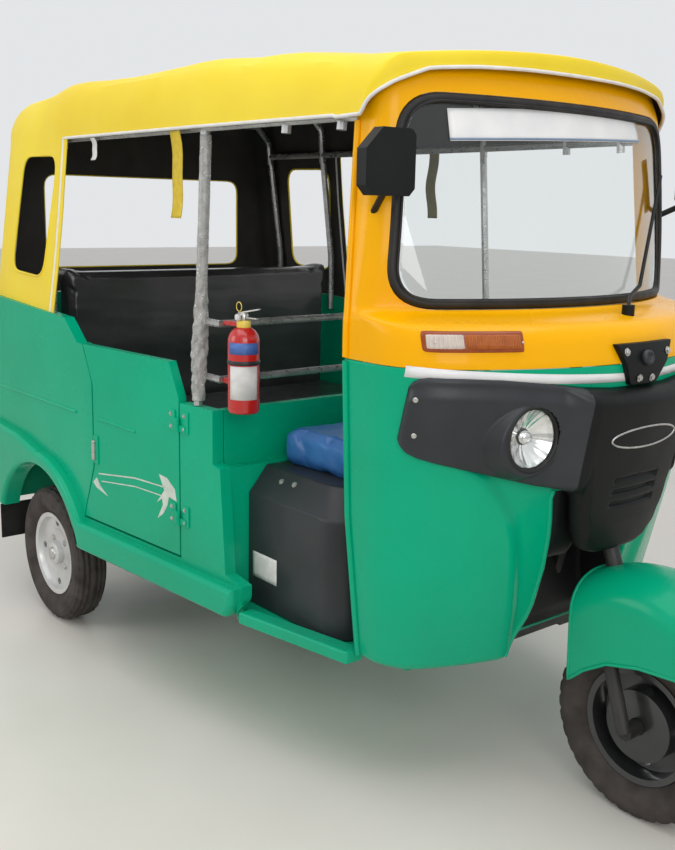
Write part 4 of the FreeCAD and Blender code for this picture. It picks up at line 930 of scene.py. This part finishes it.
for at, out in LAMPS:
    bowls += [lathe("bowl", bowl_line, 72, at, bright_bowl, None, flute, False, out),
              lathe("bulb", bulb_line, 28, at, bright_bowl, None, None, False, out),
              lathe("seat", seat_line, 40, at, satin_plastic, None, None, False, out),
              lathe("rim", rim_ring, 64, at, soft_rubber, None, None, True, out)]
    domes.append(lathe("dome", dome_line, 64, at, lamp_glass, None, None, False, out))
lamp_bowls = join("lamp_bowls", bowls, "body")
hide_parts("headlamps")
lamp_domes = join("lamp_domes", domes, "body")
lamp_domes.visible_shadow = False

# Front indicators: a dark amber frame on the yellow skin with a ribbed amber lens in it, whose outer
# third is clear over a bright reflector. Two screws hold each lens.
amber_frame = coat("amber_frame", (30,), (0.27, 0.045, 0.004), (0.35, 0.062, 0.006), ((60,), 0.12, 0.22),
                   Specular_IOR_Level=0.5)
amber_lens = coat("amber_lens", (40,), (0.48, 0.105, 0.005), (0.62, 0.16, 0.009), ((60,), 0.08, 0.16),
                  Transmission_Weight=0.25, IOR=1.49)
clear_lens = coat("clear_lens", (50,), (0.78, 0.68, 0.60), (0.90, 0.80, 0.71), ((60,), 0.08, 0.16),
                  Transmission_Weight=0.25, IOR=1.49)


def bead_box(name, side, ends, heights, proud, finish, ribs=0, steps=(72, 14)):
    """A low moulding with rounded edges on the cowl's skin, ribbed upright where it is a lens."""
    def spot(u, v):
        p, q = 2 * u - 1, 2 * v - 1
        edge = (1 - abs(p) ** 24) ** 0.5 * (1 - abs(q) ** 8) ** 0.5
        shrink_y, shrink_z = 1 - 0.02 * abs(q) ** 6, 1 - 0.06 * abs(p) ** 24
        y = side * (ends[0] + ends[1] + (ends[1] - ends[0]) * p * shrink_y) / 2
        z = (heights[0] + heights[1] + (heights[1] - heights[0]) * q * shrink_z) / 2
        rise = -0.001 + proud * edge + (0.0013 * cos(2 * pi * ribs * u) * edge if ribs else 0.0)
        return Vector((cowl_x(y, z), y, z)) + cowl_out(y, z) * rise
    return patch(name, steps[0], steps[1], spot, finish, None)


FRAME_Z, LENS_Z = (1.1400, 1.1860), (1.1460, 1.1800)
lenses = []
for side in (-1, 1):
    lenses += [bead_box("frame", side, (0.335, 0.528), FRAME_Z, 0.0075, amber_frame),
               bead_box("amber", side, (0.343, 0.4575), LENS_Z, 0.0120, amber_lens, 17, (136, 12)),
               bead_box("clear", side, (0.4585, 0.5215), LENS_Z, 0.0118, clear_lens, 9, (72, 12))]
blinkers = join("blinker_lenses", lenses, "body")
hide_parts("front_indicators")
blinker_places = [on_cowl(side * y, 1.163, 0.0125) for side in (-1, 1) for y in (0.3475, 0.5165)]
repeat("blinker_screws", screw_head, blinker_places, plated_steel, "body", 0.45, 3.0, 9)

# Tail lamps: red lenses moulded in one piece each, screwed over the bulbs on the rear panel, with
# softened edges.
red_lens = coat("red_lens", (40,), (0.42, 0.012, 0.010), (0.60, 0.02, 0.016), ((60,), 0.08, 0.18),
                Transmission_Weight=0.35, IOR=1.49)
dress("tail_lamps", red_lens, 0.004)

# Hood frame, door posts and the rails of the partition: steel tube, bent and welded, under bright
# silver paint. The frame stands bolted to the chassis.
silver_tube = coat("silver_tube", (18, 5), (0.42, 0.42, 0.42), (0.62, 0.62, 0.61), ((45,), 0.22, 0.4),
                   [((160, 2), 0.0002)], Metallic=0.75)
dress("hood_frame partition_rails", silver_tube, 0)

# Extinguisher: a drawn steel bottle in red enamel with a yellow neck ring and a plated valve screwed
# in. Its paper labels are blank; a strap and two hooks carry it on the rails behind the driver.
fire_red = coat("fire_red", (8, 4), (0.50, 0.010, 0.008), (0.62, 0.016, 0.012), ((20,), 0.24, 0.34),
                [((80, 2), 0.0003, 0.4)], Coat_Weight=0.5, Coat_Roughness=0.06)
label_white = coat("label_white", (30,), (0.62, 0.61, 0.60), (0.80, 0.79, 0.77), Roughness=0.42)
label_blue = coat("label_blue", (30,), (0.045, 0.11, 0.36), (0.09, 0.20, 0.55), Roughness=0.42)
neck_yellow = coat("neck_yellow", (30,), (0.80, 0.58, 0.07), (0.92, 0.72, 0.14), Roughness=0.4)
BOTTLE = Vector((0.140, -0.541, 0))


def turned(name, profile, finish, count=48):
    """A part of the bottle, turned round its upright axis."""
    return lathe(name, profile, count, BOTTLE, finish, None, loop=False, towards=(0, 0, 1))


def sticker(name, low, high, turn, half_turn, finish):
    """Paper wrapped part of the way round the bottle."""
    def spot(u, v):
        angle = radians(turn + half_turn * (2 * u - 1))
        return BOTTLE + Vector((0.0424 * cos(angle), 0.0424 * sin(angle), low + (high - low) * v))
    return patch(name, 28, 2, spot, finish, None, 0.0006)


def bar(name, start, end, wide, tall, finish, edge=0.002):
    """A straight flat bar between two points, with softened edges."""
    along = (Vector(end) - Vector(start)).normalized()
    side = along.cross(Vector((0, 0, 1))).normalized() if abs(along.z) < 0.9 else Vector((0, 1, 0))
    up = side.cross(along).normalized()
    spots = [Vector(at) + side * a * wide / 2 + up * b * tall / 2
             for at in (start, end) for a, b in ((-1, -1), (1, -1), (1, 1), (-1, 1))]
    faces = [(0, 1, 2, 3), (4, 5, 6, 7), (0, 1, 5, 4), (1, 2, 6, 5), (2, 3, 7, 6), (3, 0, 4, 7)]
    made = piece(name, spots, faces, finish, None, smooth=False)
    soft = made.modifiers.new("edge", "BEVEL")
    soft.width, soft.segments = edge, 3
    return made


bottle_line = [(0.0, 0.909), (0.030, 0.909), (0.0385, 0.905), (0.0415, 0.909), (0.0420, 0.916),
               (0.0420, 1.090), (0.0410, 1.101), (0.0375, 1.112), (0.0310, 1.121), (0.0230, 1.127),
               (0.0175, 1.130), (0.0, 1.131)]
neck_line = [(0.0, 1.128), (0.0178, 1.128), (0.0186, 1.131), (0.0186, 1.144), (0.0175, 1.147), (0.0, 1.147)]
valve_line = [(0.0, 1.145), (0.0115, 1.145), (0.0120, 1.150), (0.0120, 1.163), (0.0090, 1.168), (0.0, 1.168)]
strap_line = [(0.0415, 1.033), (0.0436, 1.034), (0.0436, 1.044), (0.0415, 1.045)]
pin_line = [BOTTLE + Vector((x, -0.012, z)) for x, z in oval(-0.004, 1.183, 0.012, 0.012, 24)]
bottle = [turned("bottle", bottle_line, fire_red),
          turned("neck", neck_line, neck_yellow),
          turned("valve", valve_line, plated_steel, 24),
          turned("strap", strap_line, satin_plastic),
          sticker("plain_label", 0.943, 1.031, -34, 55, label_white),
          sticker("plain_band", 1.062, 1.092, -34, 62, label_blue),
          bar("lever", (0.128, -0.547, 1.166), (0.180, -0.520, 1.178), 0.016, 0.004, label_white),
          bar("handle", (0.128, -0.547, 1.156), (0.176, -0.522, 1.153), 0.014, 0.004, plated_steel),
          bar("gauge", (0.140, -0.553, 1.156), (0.140, -0.566, 1.156), 0.018, 0.018, label_white, 0.006),
          bar("low_hook", (0.0595, -0.541, 0.980), (0.101, -0.541, 0.980), 0.020, 0.016, fire_red),
          bar("high_hook", (0.0595, -0.541, 1.134), (0.126, -0.541, 1.136), 0.020, 0.012, fire_red),
          rope("pin_ring", pin_line, 0.0012, neck_yellow, None, True)]
bottle = join("fire_bottle", bottle, "body")
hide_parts("extinguisher")

# Details of the tub and doors: pressed swage lines, latch and hinge leaves in the panel's own enamel,
# the bolts through them, and a pale film pattern of a plain arrow and two lines on each door.
film_silver = coat("film_silver", (30,), (0.52, 0.60, 0.52), (0.70, 0.76, 0.68), Roughness=0.4)

HINGES = (0.577, 0.847)
TAIL = ((-0.533, 0.596), (-0.555, 0.578), (-0.535, 0.563), (-0.505, 0.556), (-0.470, 0.548), (-0.512, 0.572))
HEAD = ((-0.190, 0.676), (-0.150, 0.672), (-0.112, 0.646), (-0.104, 0.612), (-0.142, 0.618),
        (-0.150, 0.590), (-0.172, 0.560), (-0.200, 0.541), (-0.172, 0.588), (-0.176, 0.606),
        (-0.204, 0.588), (-0.164, 0.632))
UPPER = ((-0.520, 0.609), (-0.315, 0.6355), (-0.160, 0.640), (-0.160, 0.644), (-0.317, 0.6400),
         (-0.521, 0.613))
LOWER = ((-0.505, 0.588), (-0.315, 0.6100), (-0.172, 0.612), (-0.172, 0.615), (-0.316, 0.6135),
         (-0.506, 0.591))


def on_skin(x, side, proud, z):
    """A point proud of the side panel's skin."""
    return x, side * (skin_y(x) + proud), z


def film(corners, side):
    """A flat piece of film stuck on a door."""
    spots = [on_skin(x, side, 0.0007, z) for x, z in corners]
    mesh = piece("film", spots, [tuple(range(len(spots)))], film_silver, None, smooth=False, keep_sides=True)
    if sum(a[0] * b[1] - b[0] * a[1] for a, b in zip(corners, corners[1:] + corners[:1])) * side > 0:
        mesh.data.flip_normals()
    thicken(mesh, 0.0007)
    return mesh


for side, tag in SIDES:
    door = tag + "_door"
    join("door_film_" + tag, [film(corners, side) for corners in (TAIL, HEAD, UPPER, LOWER)], door)
    swages = (("door", (-0.520, skin_y(-0.52), 0.786), (-0.311, skin_y(-0.311), 0.779), 0.03, 0.0042, door),
              ("tub", (-1.262, 0.6405, 0.786), (-0.655, 0.6405, 0.786), 0.05, 0.0050, "body"))
    for name, start, end, step, radius, rides in swages:
        swage = [(x, side * (y - 0.0008), z) for x, y, z in even_steps([start, end], step, False)]
        rope(name + "_swage_" + tag, swage, radius, green_enamel, rides, sides=12)
    pin = [on_skin(-0.536, side, 0.006, z) for z in (0.652, 0.716)]
    plate = [on_skin(-0.532, side, 0.001, z) for z in (0.640, 0.730)]
    join("door_latch_" + tag, [bar("latch", *pin, 0.014, 0.014, plated_steel, 0.004),
                               bar("plate", *plate, 0.006, 0.028, green_enamel, 0.002)], door)
    for where, x, rides in (("door", -0.120, door), ("post", -0.058, "body")):
        leaves = [bar("leaf", on_skin(x, side, 0.0012, z - 0.030), on_skin(x, side, 0.0012, z + 0.030),
                      0.005, 0.030, green_enamel, 0.0015) for z in HINGES]
        join("hinge_leaf_" + where + "_" + tag, leaves, rides)
        bolts = [((x - 0.004, side * (skin_y(x) + 0.0034), z + b), (0, side, 0))
                 for z in HINGES for b in (-0.018, 0.018)]
        repeat("hinge_bolts_" + where + "_" + tag, bolt_head, bolts, plated_steel, rides, 0.7, 1.0, 12)

# Box under the driver: two plated bolts in its top slope and a plain pale sticker on its side. Both
# lie on the moulded box, found by looking across at it from the doorway.


def on_box(x, z, out):
    """A point proud of the box as seen from the right, and the direction straight out of it."""
    at, normal = cad["underseat_box"].ray_cast(Vector((x, -0.9, z)), Vector((0, 1, 0)))[1:3]
    return at + normal * out, normal


patch("plain_sticker", 10, 6, lambda u, v: on_box(0.122 + 0.110 * u, 0.436 + 0.072 * v, 0.0008)[0],
      label_white, "body", 0.0006)
box_places = [on_box(0.198, 0.714, 0.0), on_box(0.252, 0.717, 0.0)]
repeat("box_bolts", bolt_head, box_places, plated_steel, "body", 0.9, 1.0, 15)

# Canopy: one sheet of coated lemon cloth stretched over the bows, dark inside, with sewn windows, a
# rolled white hem along the side openings and a white piping round its front edge.
BOWS = (-1.240, -0.900, -0.047, 0.300, 0.500)
# Place along the vehicle, half width at the waist and at the shoulder, and height of the crown.
HOOD = ((-1.326, 0.642, 0.554, 1.778), (-1.240, 0.643, 0.560, 1.808), (-0.900, 0.644, 0.566, 1.846),
        (-0.047, 0.638, 0.566, 1.848), (0.300, 0.622, 0.556, 1.834), (0.500, 0.608, 0.549, 1.812),
        (0.640, 0.600, 0.546, 1.800), (0.800, 0.592, 0.543, 1.797))
EAVE_Z = 1.64


def hood_spot(x, turn, grow=0.0):
    """A point of the section at x: turn runs from 0 at the eave to 1 at the ridge."""
    half, top = [value + grow for value in table_row(HOOD, x)[1:]]
    fall, knee = top - 0.028, half - 0.080
    if turn < 0.3:
        angle = turn / 0.3 * pi / 2
        return half - 0.080 * (1 - cos(angle)), EAVE_Z + (fall - EAVE_Z) * sin(angle)
    k = (turn - 0.3) / 0.7
    return knee * (1 - k), fall + (top - fall) * (1 - (1 - k) ** 2)


def front_edge(y):
    """How far forward the roof reaches at a place across: a bow with rounded ends."""
    if abs(y) < 0.4896:
        return -0.554 + sqrt(1.69 - y * y)
    return 0.5576 + sqrt(max(0.0, 0.01 - (abs(y) - 0.452) ** 2))


EAVE = ((0.575, 1.620), (0.583, 1.630), (0.596, 1.660), (0.611, 1.678), (0.635, 1.698), (0.651, 1.714),
        (0.675, 1.740), (0.710, 1.750), (0.736, 1.754), (0.900, 1.756))


def eave(at, known, sought):
    """The sloping lower edge of the canopy's front corner: column 0 is its place along, 1 its height."""
    for low, high in zip(EAVE, EAVE[1:]):
        if at <= high[known]:
            share = max(0.0, (at - low[known]) / (high[known] - low[known]))
            return low[sought] + (high[sought] - low[sought]) * share
    return EAVE[-1][sought]


def slack(x, y, z):
    """How far the cloth hangs below a tight line: between bows, and in soft creases."""
    sink = 0.0
    for low, high in zip(BOWS, BOWS[1:]):
        if low < x < high:
            sink = 0.006 * min(1.0, (high - low) / 0.34) * sin(pi * (x - low) / (high - low)) ** 2
    crease = noise.noise(Vector((x * 3.1, y * 2.2, z * 4.0))) * 0.004
    crease += noise.noise(Vector((x * 9, y * 5, z * 9))) * 0.0016
    return sink + 0.004 + crease


WALL, CORNER = 26, 0.040
bent = [pi / 2 * k / 5 for k in range(5)]
stations = [(-1.326 + CORNER * (1 - cos(t)), -CORNER * (1 - sin(t))) for t in bent]
stations += [(-1.286 + 0.466 * k / 18, 0.0) for k in range(19)]
stations += [(-0.82 + 1.32 * k / 46, 0.0) for k in range(1, 47)]
turns = [0.3 * k / 10 for k in range(10)] + [0.3 + 0.7 * k / 24 for k in range(25)]
spots, index = [], {}


def lay(key, x, y, z):
    """A corner of the cloth's grid, found again by its station, its place round and its side."""
    index[key] = len(spots)
    spots.append((x, y, z))


for i, (x, grow) in enumerate(stations):
    for side in (-1, 1):
        for j, turn in enumerate(turns):
            y, z = hood_spot(x, turn, grow)
            lay((i, j, side), x, side * y, z - (slack(x, side * y, z) if grow == 0 and j > 6 else 0.0))
        if x < -0.815:
            low_half, half = [value + grow for value in table_row(HOOD, x)[:2]]
            hem = 1.1165 - 0.0531 * (x + 1.4)
            for j in range(1, WALL + 1):
                z = EAVE_Z + (hem - EAVE_Z) * j / WALL
                y = half + (low_half - half) * (EAVE_Z - z) / 0.64 - 0.001
                ripple = slack(x, side * y, z) * 0.7 * sin(pi * j / WALL) if grow == 0 else 0.0
                lay((i, -j, side), x, side * (y - ripple), z)
last = len(stations) - 1
FRONT = 14
for row in range(1, FRONT + 1):
    i = last + row
    for side in (-1, 1):
        for j, turn in enumerate(turns):
            y, z = hood_spot(0.66, turn)
            slope = eave(z, 1, 0)
            drops = front_edge(y) < slope
            reach = front_edge(y) - 0.014 if drops else slope
            k = min(1.0, row / 10)
            x = 0.5 + (reach - 0.5) * k
            y, z = hood_spot(x, turn)
            z -= slack(0.5, side * y, z) * (1 - 0.8 * k)
            if row > 10 and drops:
                fall = (row - 10) / 4
                x = reach + 0.014 * sin(min(1.0, fall * 2) * pi / 2)
                z -= (z - min(z, eave(front_edge(y), 0, 1))) * (1 - cos(fall * pi / 2))
            lay((i, j, side), x, side * y, z)
faces = []
for i in range(last + FRONT):
    for side in (-1, 1):
        for j in range(-WALL, len(turns) - 1):
            keys = ((i, j, side), (i + 1, j, side), (i + 1, j + 1, side), (i, j + 1, side))
            if all(key in index for key in keys):
                around = [index[key] for key in keys]
                faces.append(around if side > 0 else around[::-1])
for j in range(-WALL, len(turns) - 1):
    lower, upper = [index[(0, j, -1)]], [index[(0, j + 1, -1)]]
    ends = index[(0, j, 1)], index[(0, j + 1, 1)]
    steps = 24
    for m in range(1, steps):
        for chain, end in zip((lower, upper), ends):
            spots.append(tuple(Vector(spots[chain[0]]).lerp(Vector(spots[end]), m / steps)))
            chain.append(len(spots) - 1)
    lower.append(ends[0])
    upper.append(ends[1])
    faces += [(lower[m], lower[m + 1], upper[m + 1], upper[m]) for m in range(steps)]

lemon_cloth = coat("lemon_cloth", (2.6, 5), (0.86, 0.63, 0.022), (0.94, 0.74, 0.040), ((8, 4), 0.36, 0.52),
                   [((420, 2), 0.0004, 0.5), ((7, 3), 0.006, 0.35)],
                   Specular_IOR_Level=0.25, Sheen_Weight=0.03)
dark_lining = coat("dark_lining", (5, 5), (0.028, 0.026, 0.024), (0.055, 0.050, 0.044), ((12,), 0.6, 0.8),
                   [((500, 2), 0.0005)], Specular_IOR_Level=0.3)

quarter_line = rounded([(-1.182, 1.205), (-0.925, 1.192), (-0.890, 1.588), (-1.160, 1.592)], 0.060)
back_line = rounded([(-0.425, 1.20), (0.425, 1.20), (0.425, 1.54), (-0.425, 1.54)], 0.05)
canopy = piece("canopy_cloth", spots, faces, lemon_cloth, None)
canopy.data.materials.append(dark_lining)
thicken(canopy, 0.003, -1).material_offset = 1
carve(canopy, cutter(quarter_line, "y", -0.8, 0.8, dark_lining),
      cutter(back_line, "x", -1.5, -1.2, dark_lining))
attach(canopy, "body")
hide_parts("canopy")

white_piping = coat("white_piping", (25,), (0.74, 0.73, 0.70), (0.86, 0.85, 0.83), None,
                    [((300, 2), 0.0004)], Roughness=0.45)


def seam(keys, aside):
    """A line through corners of the cloth, moved a little aside."""
    return [Vector(spots[index[key]]) + Vector(aside) for key in keys]


count = len(turns)
front_row = [(last + FRONT, j, -1) for j in range(count)]
front_row += [(last + FRONT, j, 1) for j in range(count - 2, -1, -1)]
welts = [rope("front_piping", seam(front_row, (0.003, 0, -0.001)), 0.0045, white_piping, "body")]
for side, tag in SIDES:
    hem = [(22, -j, side) for j in range(WALL, 0, -1)] + [(i, 0, side) for i in range(22, last + 11)]
    welts.append(rope("eave_hem_" + tag, seam(hem, (0, -side * 0.0015, 0)), 0.005, white_piping, "body"))
    ring = [(x, side * (0.556 + 0.086 * (EAVE_Z - z) / 0.64 + 0.0005), z) for x, z in quarter_line]
    welts.append(rope("quarter_welt_" + tag, ring, 0.004, lemon_cloth, "body", True))
welts.append(rope("back_welt", [(-1.3265, y, z) for y, z in back_line], 0.004, lemon_cloth, "body", True))

# Wrap left on the door post from the factory: thin clear film wound round the tube and gathered,
# tight above the shoulder rail and loose and crumpled below it.
clear_wrap = coat("clear_wrap", (50,), (0.62, 0.62, 0.60), (0.86, 0.86, 0.84), ((90,), 0.12, 0.30),
                  Transmission_Weight=0.62, IOR=1.3)


def wrap_spot(u, v):
    """Round the leaning post and up it, with folds that are deep only where the film is loose."""
    z = 0.915 + 0.705 * v
    axis = Vector((-0.023 - 0.0327 * (z - 0.905), -0.580 + 0.0626 * (z - 0.905), z))
    turn = Vector((cos(2 * pi * u), sin(2 * pi * u), 0))
    loose = ease((1.24 - z) / 0.12) * (1 - 0.5 * ease((0.98 - z) / 0.06))
    folds = noise.noise(Vector((turn.x * 1.6, turn.y * 1.6, z * 34)))
    fine = noise.noise(Vector((turn.x * 3.5, turn.y * 3.5, z * 95)))
    proud = (0.0010 + 0.0062 * loose) * folds + (0.0005 + 0.0024 * loose) * fine
    return axis + turn * (0.0152 + 0.0045 * loose + proud)


post_wrap = patch("post_wrap", 40, 170, wrap_spot, clear_wrap, "body", 0.0006)

# Straps: flat webbing sewn to the hood's eave rails, which ties the rolled side curtains when they
# are up. They hang free, each with a slight wave.
strap_yellow = coat("strap_yellow", (60,), (0.62, 0.44, 0.02), (0.76, 0.56, 0.04), None,
                    [((500, 2), 0.0004)], Roughness=0.7)
# The left strap is the same yellow webbing darkened to olive: painted shade, as it is seen from inside the
# hood.
strap_yellow_painted_shade = coat("strap_yellow_painted_shade", (60,), (0.16, 0.13, 0.02), (0.24, 0.19, 0.03), None, [((500, 2), 0.0004)],
                   Roughness=0.7)


def strap(name, x, y, high, low, wide, finish):
    """One hanging end of webbing, which waves along the vehicle and swings in under the roof."""
    def spot(u, v):
        along = x + wide * (u - 0.5) + 0.004 * sin(9 * v)
        across = y + 0.010 * sin(3.1 * v) * (1 if y < 0 else -1) + 0.002 * cos(3 * u)
        return Vector((along, across, high + (low - high) * v))
    patch(name, 6, 24, spot, finish, "body", 0.0022)


strap("side_strap_right", -0.166, -0.560, 1.634, 1.402, 0.058, strap_yellow)
strap("short_strap_right", -0.657, -0.560, 1.634, 1.568, 0.036, white_piping)
# This strap's olive colour is painted shade on yellow webbing.
strap("side_strap_left", -0.300, 0.560, 1.634, 1.411, 0.050, strap_yellow_painted_shade)

# Seats: foam blocks under black seat vinyl for the passengers, and under a loose blue cover for the
# driver. The foam is blown up inside its cover, and the cover is creased.


def pillow(name, node, finish, swell=4, voxel=0.007, pull=0.006, cap=0.024):
    """A pad that fills its node's box, blown up a little inside its cover."""
    low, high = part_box(node)
    low, high = low + Vector((1, 1, 1)) * pull, high - Vector((1, 1, 1)) * pull
    bpy.ops.mesh.primitive_cube_add(size=1)
    made = bpy.context.object
    made.name = name
    shape = bmesh.new()
    shape.from_mesh(made.data)
    for corner in shape.verts:
        corner.co = Vector([(low[k] + high[k]) / 2 + corner.co[k] * (high[k] - low[k]) for k in range(3)])
    bmesh.ops.bevel(shape, geom=shape.edges, offset=0.022, segments=3, profile=0.6, affect="EDGES")
    shape.to_mesh(made.data)
    shape.free()
    fine = made.modifiers.new("fine", "REMESH")
    fine.mode, fine.voxel_size = "VOXEL", voxel
    settle(made)
    start = [v.co.copy() for v in made.data.vertices]
    cloth = made.modifiers.new("cloth", "CLOTH").settings
    cloth.use_pressure, cloth.uniform_pressure_force = True, swell
    cloth.effector_weights.gravity = 0
    for step in range(1, 21):
        scene.frame_set(step)
    settle(made)
    scene.frame_set(1)
    for rest, spot in zip(start, made.data.vertices):
        move = spot.co - rest
        if move.length > cap:
            spot.co = rest + move.normalized() * cap
        for k in (0, 1, 2):
            spot.co[k] = max(low[k] - pull + 0.0004, min(high[k] + pull + 0.006, spot.co[k]))
    for face in made.data.polygons:
        face.use_smooth = True
    made.data.materials.clear()
    made.data.materials.append(finish)
    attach(made, "body")
    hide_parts(node)
    return made


black_vinyl = coat("black_vinyl", (6, 5), (0.022, 0.021, 0.022), (0.044, 0.042, 0.043), ((18,), 0.30, 0.46),
                   [((260, 2), 0.0005, 0.6), ((6, 2, (1, 0.45, 1.6), 0.4), 0.020, 0.5)],
                   Coat_Weight=0.55, Coat_Roughness=0.12)
blue_cover = coat("blue_cover", (5, 5), (0.018, 0.115, 0.36), (0.050, 0.21, 0.56), ((18,), 0.34, 0.5),
                  [((300, 2), 0.0004, 0.5), ((9, 3, (0.7, 1.3, 1)), 0.018, 0.6)],
                  Coat_Weight=0.3, Coat_Roughness=0.2)
seat = pillow("bench_pad", "seat_cushion", black_vinyl)
back = pillow("back_pad", "seat_backrest", black_vinyl)
driver = pillow("driver_pad", "driver_cushion", blue_cover)

# Wheels: pressed steel rims dished round the brake drum, painted silver behind and black in front,
# with four cooling holes, four plated nuts and a hub cap each. The ribbed cross-ply tyres have a
# zigzag tread.
tyre_black = coat("tyre_black", (16, 6), (0.030, 0.025, 0.024), (0.080, 0.066, 0.059), ((26,), 0.6, 0.82),
                  [((220, 3), 0.0006)], ends=(0.3, 0.72), Specular_IOR_Level=0.3)
rim_silver = coat("rim_silver", (10, 5), (0.52, 0.52, 0.51), (0.68, 0.68, 0.67), ((24,), 0.3, 0.44),
                  [((120, 2), 0.0003)], Metallic=0.35, Coat_Weight=0.3, Coat_Roughness=0.15)
rim_black = coat("rim_black", (10, 5), (0.012, 0.012, 0.013), (0.030, 0.030, 0.031), ((24,), 0.3, 0.44),
                 [((120, 2), 0.0003)], Coat_Weight=0.5, Coat_Roughness=0.1)

half_tread = [(0.168, 0.0495), (0.172, 0.0535), (0.186, 0.0555), (0.200, 0.0560), (0.2035, 0.0565),
              (0.207, 0.0558), (0.217, 0.0515), (0.2200, 0.0508), (0.2215, 0.0480), (0.2310, 0.0425),
              (0.2322, 0.0340), (0.2270, 0.0325), (0.2270, 0.0285), (0.2338, 0.0270), (0.2345, 0.0165),
              (0.2285, 0.0150), (0.2285, 0.0110), (0.2348, 0.0095)]
tyre_line = [(0.1425, 0.037)] + half_tread + [(r, -a) for r, a in reversed(half_tread)] + [(0.1425, -0.037)]


def zigzag(k, m):
    """How deep the tread's grooves are stepped at a place round and across."""
    rib = min(m, len(tyre_line) - 1 - m)
    if rib in (9, 10, 11):
        return 0.0040 if k % 4 == 0 else 0.0
    if rib in (14, 15):
        return 0.0036 if k % 4 == 2 else 0.0
    return 0.0


rim_line = [(0.0215, 0.0440), (0.0330, 0.0436), (0.0385, 0.0400), (0.0400, 0.0350), (0.0405, 0.0200),
            (0.0480, 0.0172), (0.0740, 0.0175), (0.0800, 0.0190), (0.0850, 0.0220), (0.1150, 0.0222),
            (0.1215, 0.0235), (0.1255, 0.0290), (0.1290, 0.0395), (0.1350, 0.0408), (0.1385, 0.0418),
            (0.1445, 0.0420), (0.1448, 0.0396), (0.1390, 0.0375), (0.1348, 0.0352), (0.1342, -0.0352),
            (0.1390, -0.0375), (0.1448, -0.0396), (0.1445, -0.0420), (0.1290, -0.0405), (0.1262, -0.0300),
            (0.1262, 0.0120), (0.1180, 0.0142), (0.0890, 0.0142), (0.0885, -0.0390), (0.0840, -0.0400),
            (0.0215, -0.0400)]
cap_line = [(0.0, 0.0520), (0.012, 0.0515), (0.0190, 0.0490), (0.0225, 0.0440), (0.0225, 0.0400),
            (0.0, 0.0400)]
REAR_AXLE, REAR_Y = -0.925, 0.575
WHEELS = (("front", FRONT_AXLE, 0.0, "front_wheel", rim_black),
          ("rear_right", REAR_AXLE, -REAR_Y, "rear_wheel_right", rim_silver),
          ("rear_left", REAR_AXLE, REAR_Y, "rear_wheel_left", rim_silver))
for where, x, y, body, paint in WHEELS:
    outward = -1 if where == "rear_right" else 1
    hub = (x, y, AXLE_Z)
    tyre = lathe("tread_" + where, tyre_line, 144, hub, tyre_black, body, zigzag)
    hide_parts("tyre_" + where)
    rim = lathe("dish_" + where, [(r, outward * along) for r, along in rim_line], 96, hub, paint, body)
    low, high = sorted((y, y + outward * 0.03))
    carve(rim, *[cutter(oval(hole_x, hole_z, 0.012, 0.012, 20), "y", low, high + 0.002, paint)
                 for hole_x, hole_z in oval(x, AXLE_Z, 0.107, 0.107, 4)])
    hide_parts("rim_" + where)
    nuts = []
    for turn in [k * pi / 2 + 0.785 for k in range(4)]:
        at = (x + 0.061 * cos(turn), y + outward * 0.0174, AXLE_Z + 0.061 * sin(turn))
        nuts.append((at, (0, outward, 0)))
    repeat("wheel_nuts_" + where, bolt_head, nuts, plated_steel, body, 1.25, 1.0, 21)
    cap = [(r, outward * along) for r, along in cap_line]
    lathe("hub_cap_" + where, cap, 32, hub, plated_steel, body, loop=False)

# The two heads that were repeated have done their work.
for helper in (screw_head, bolt_head):
    bpy.data.objects.remove(helper)
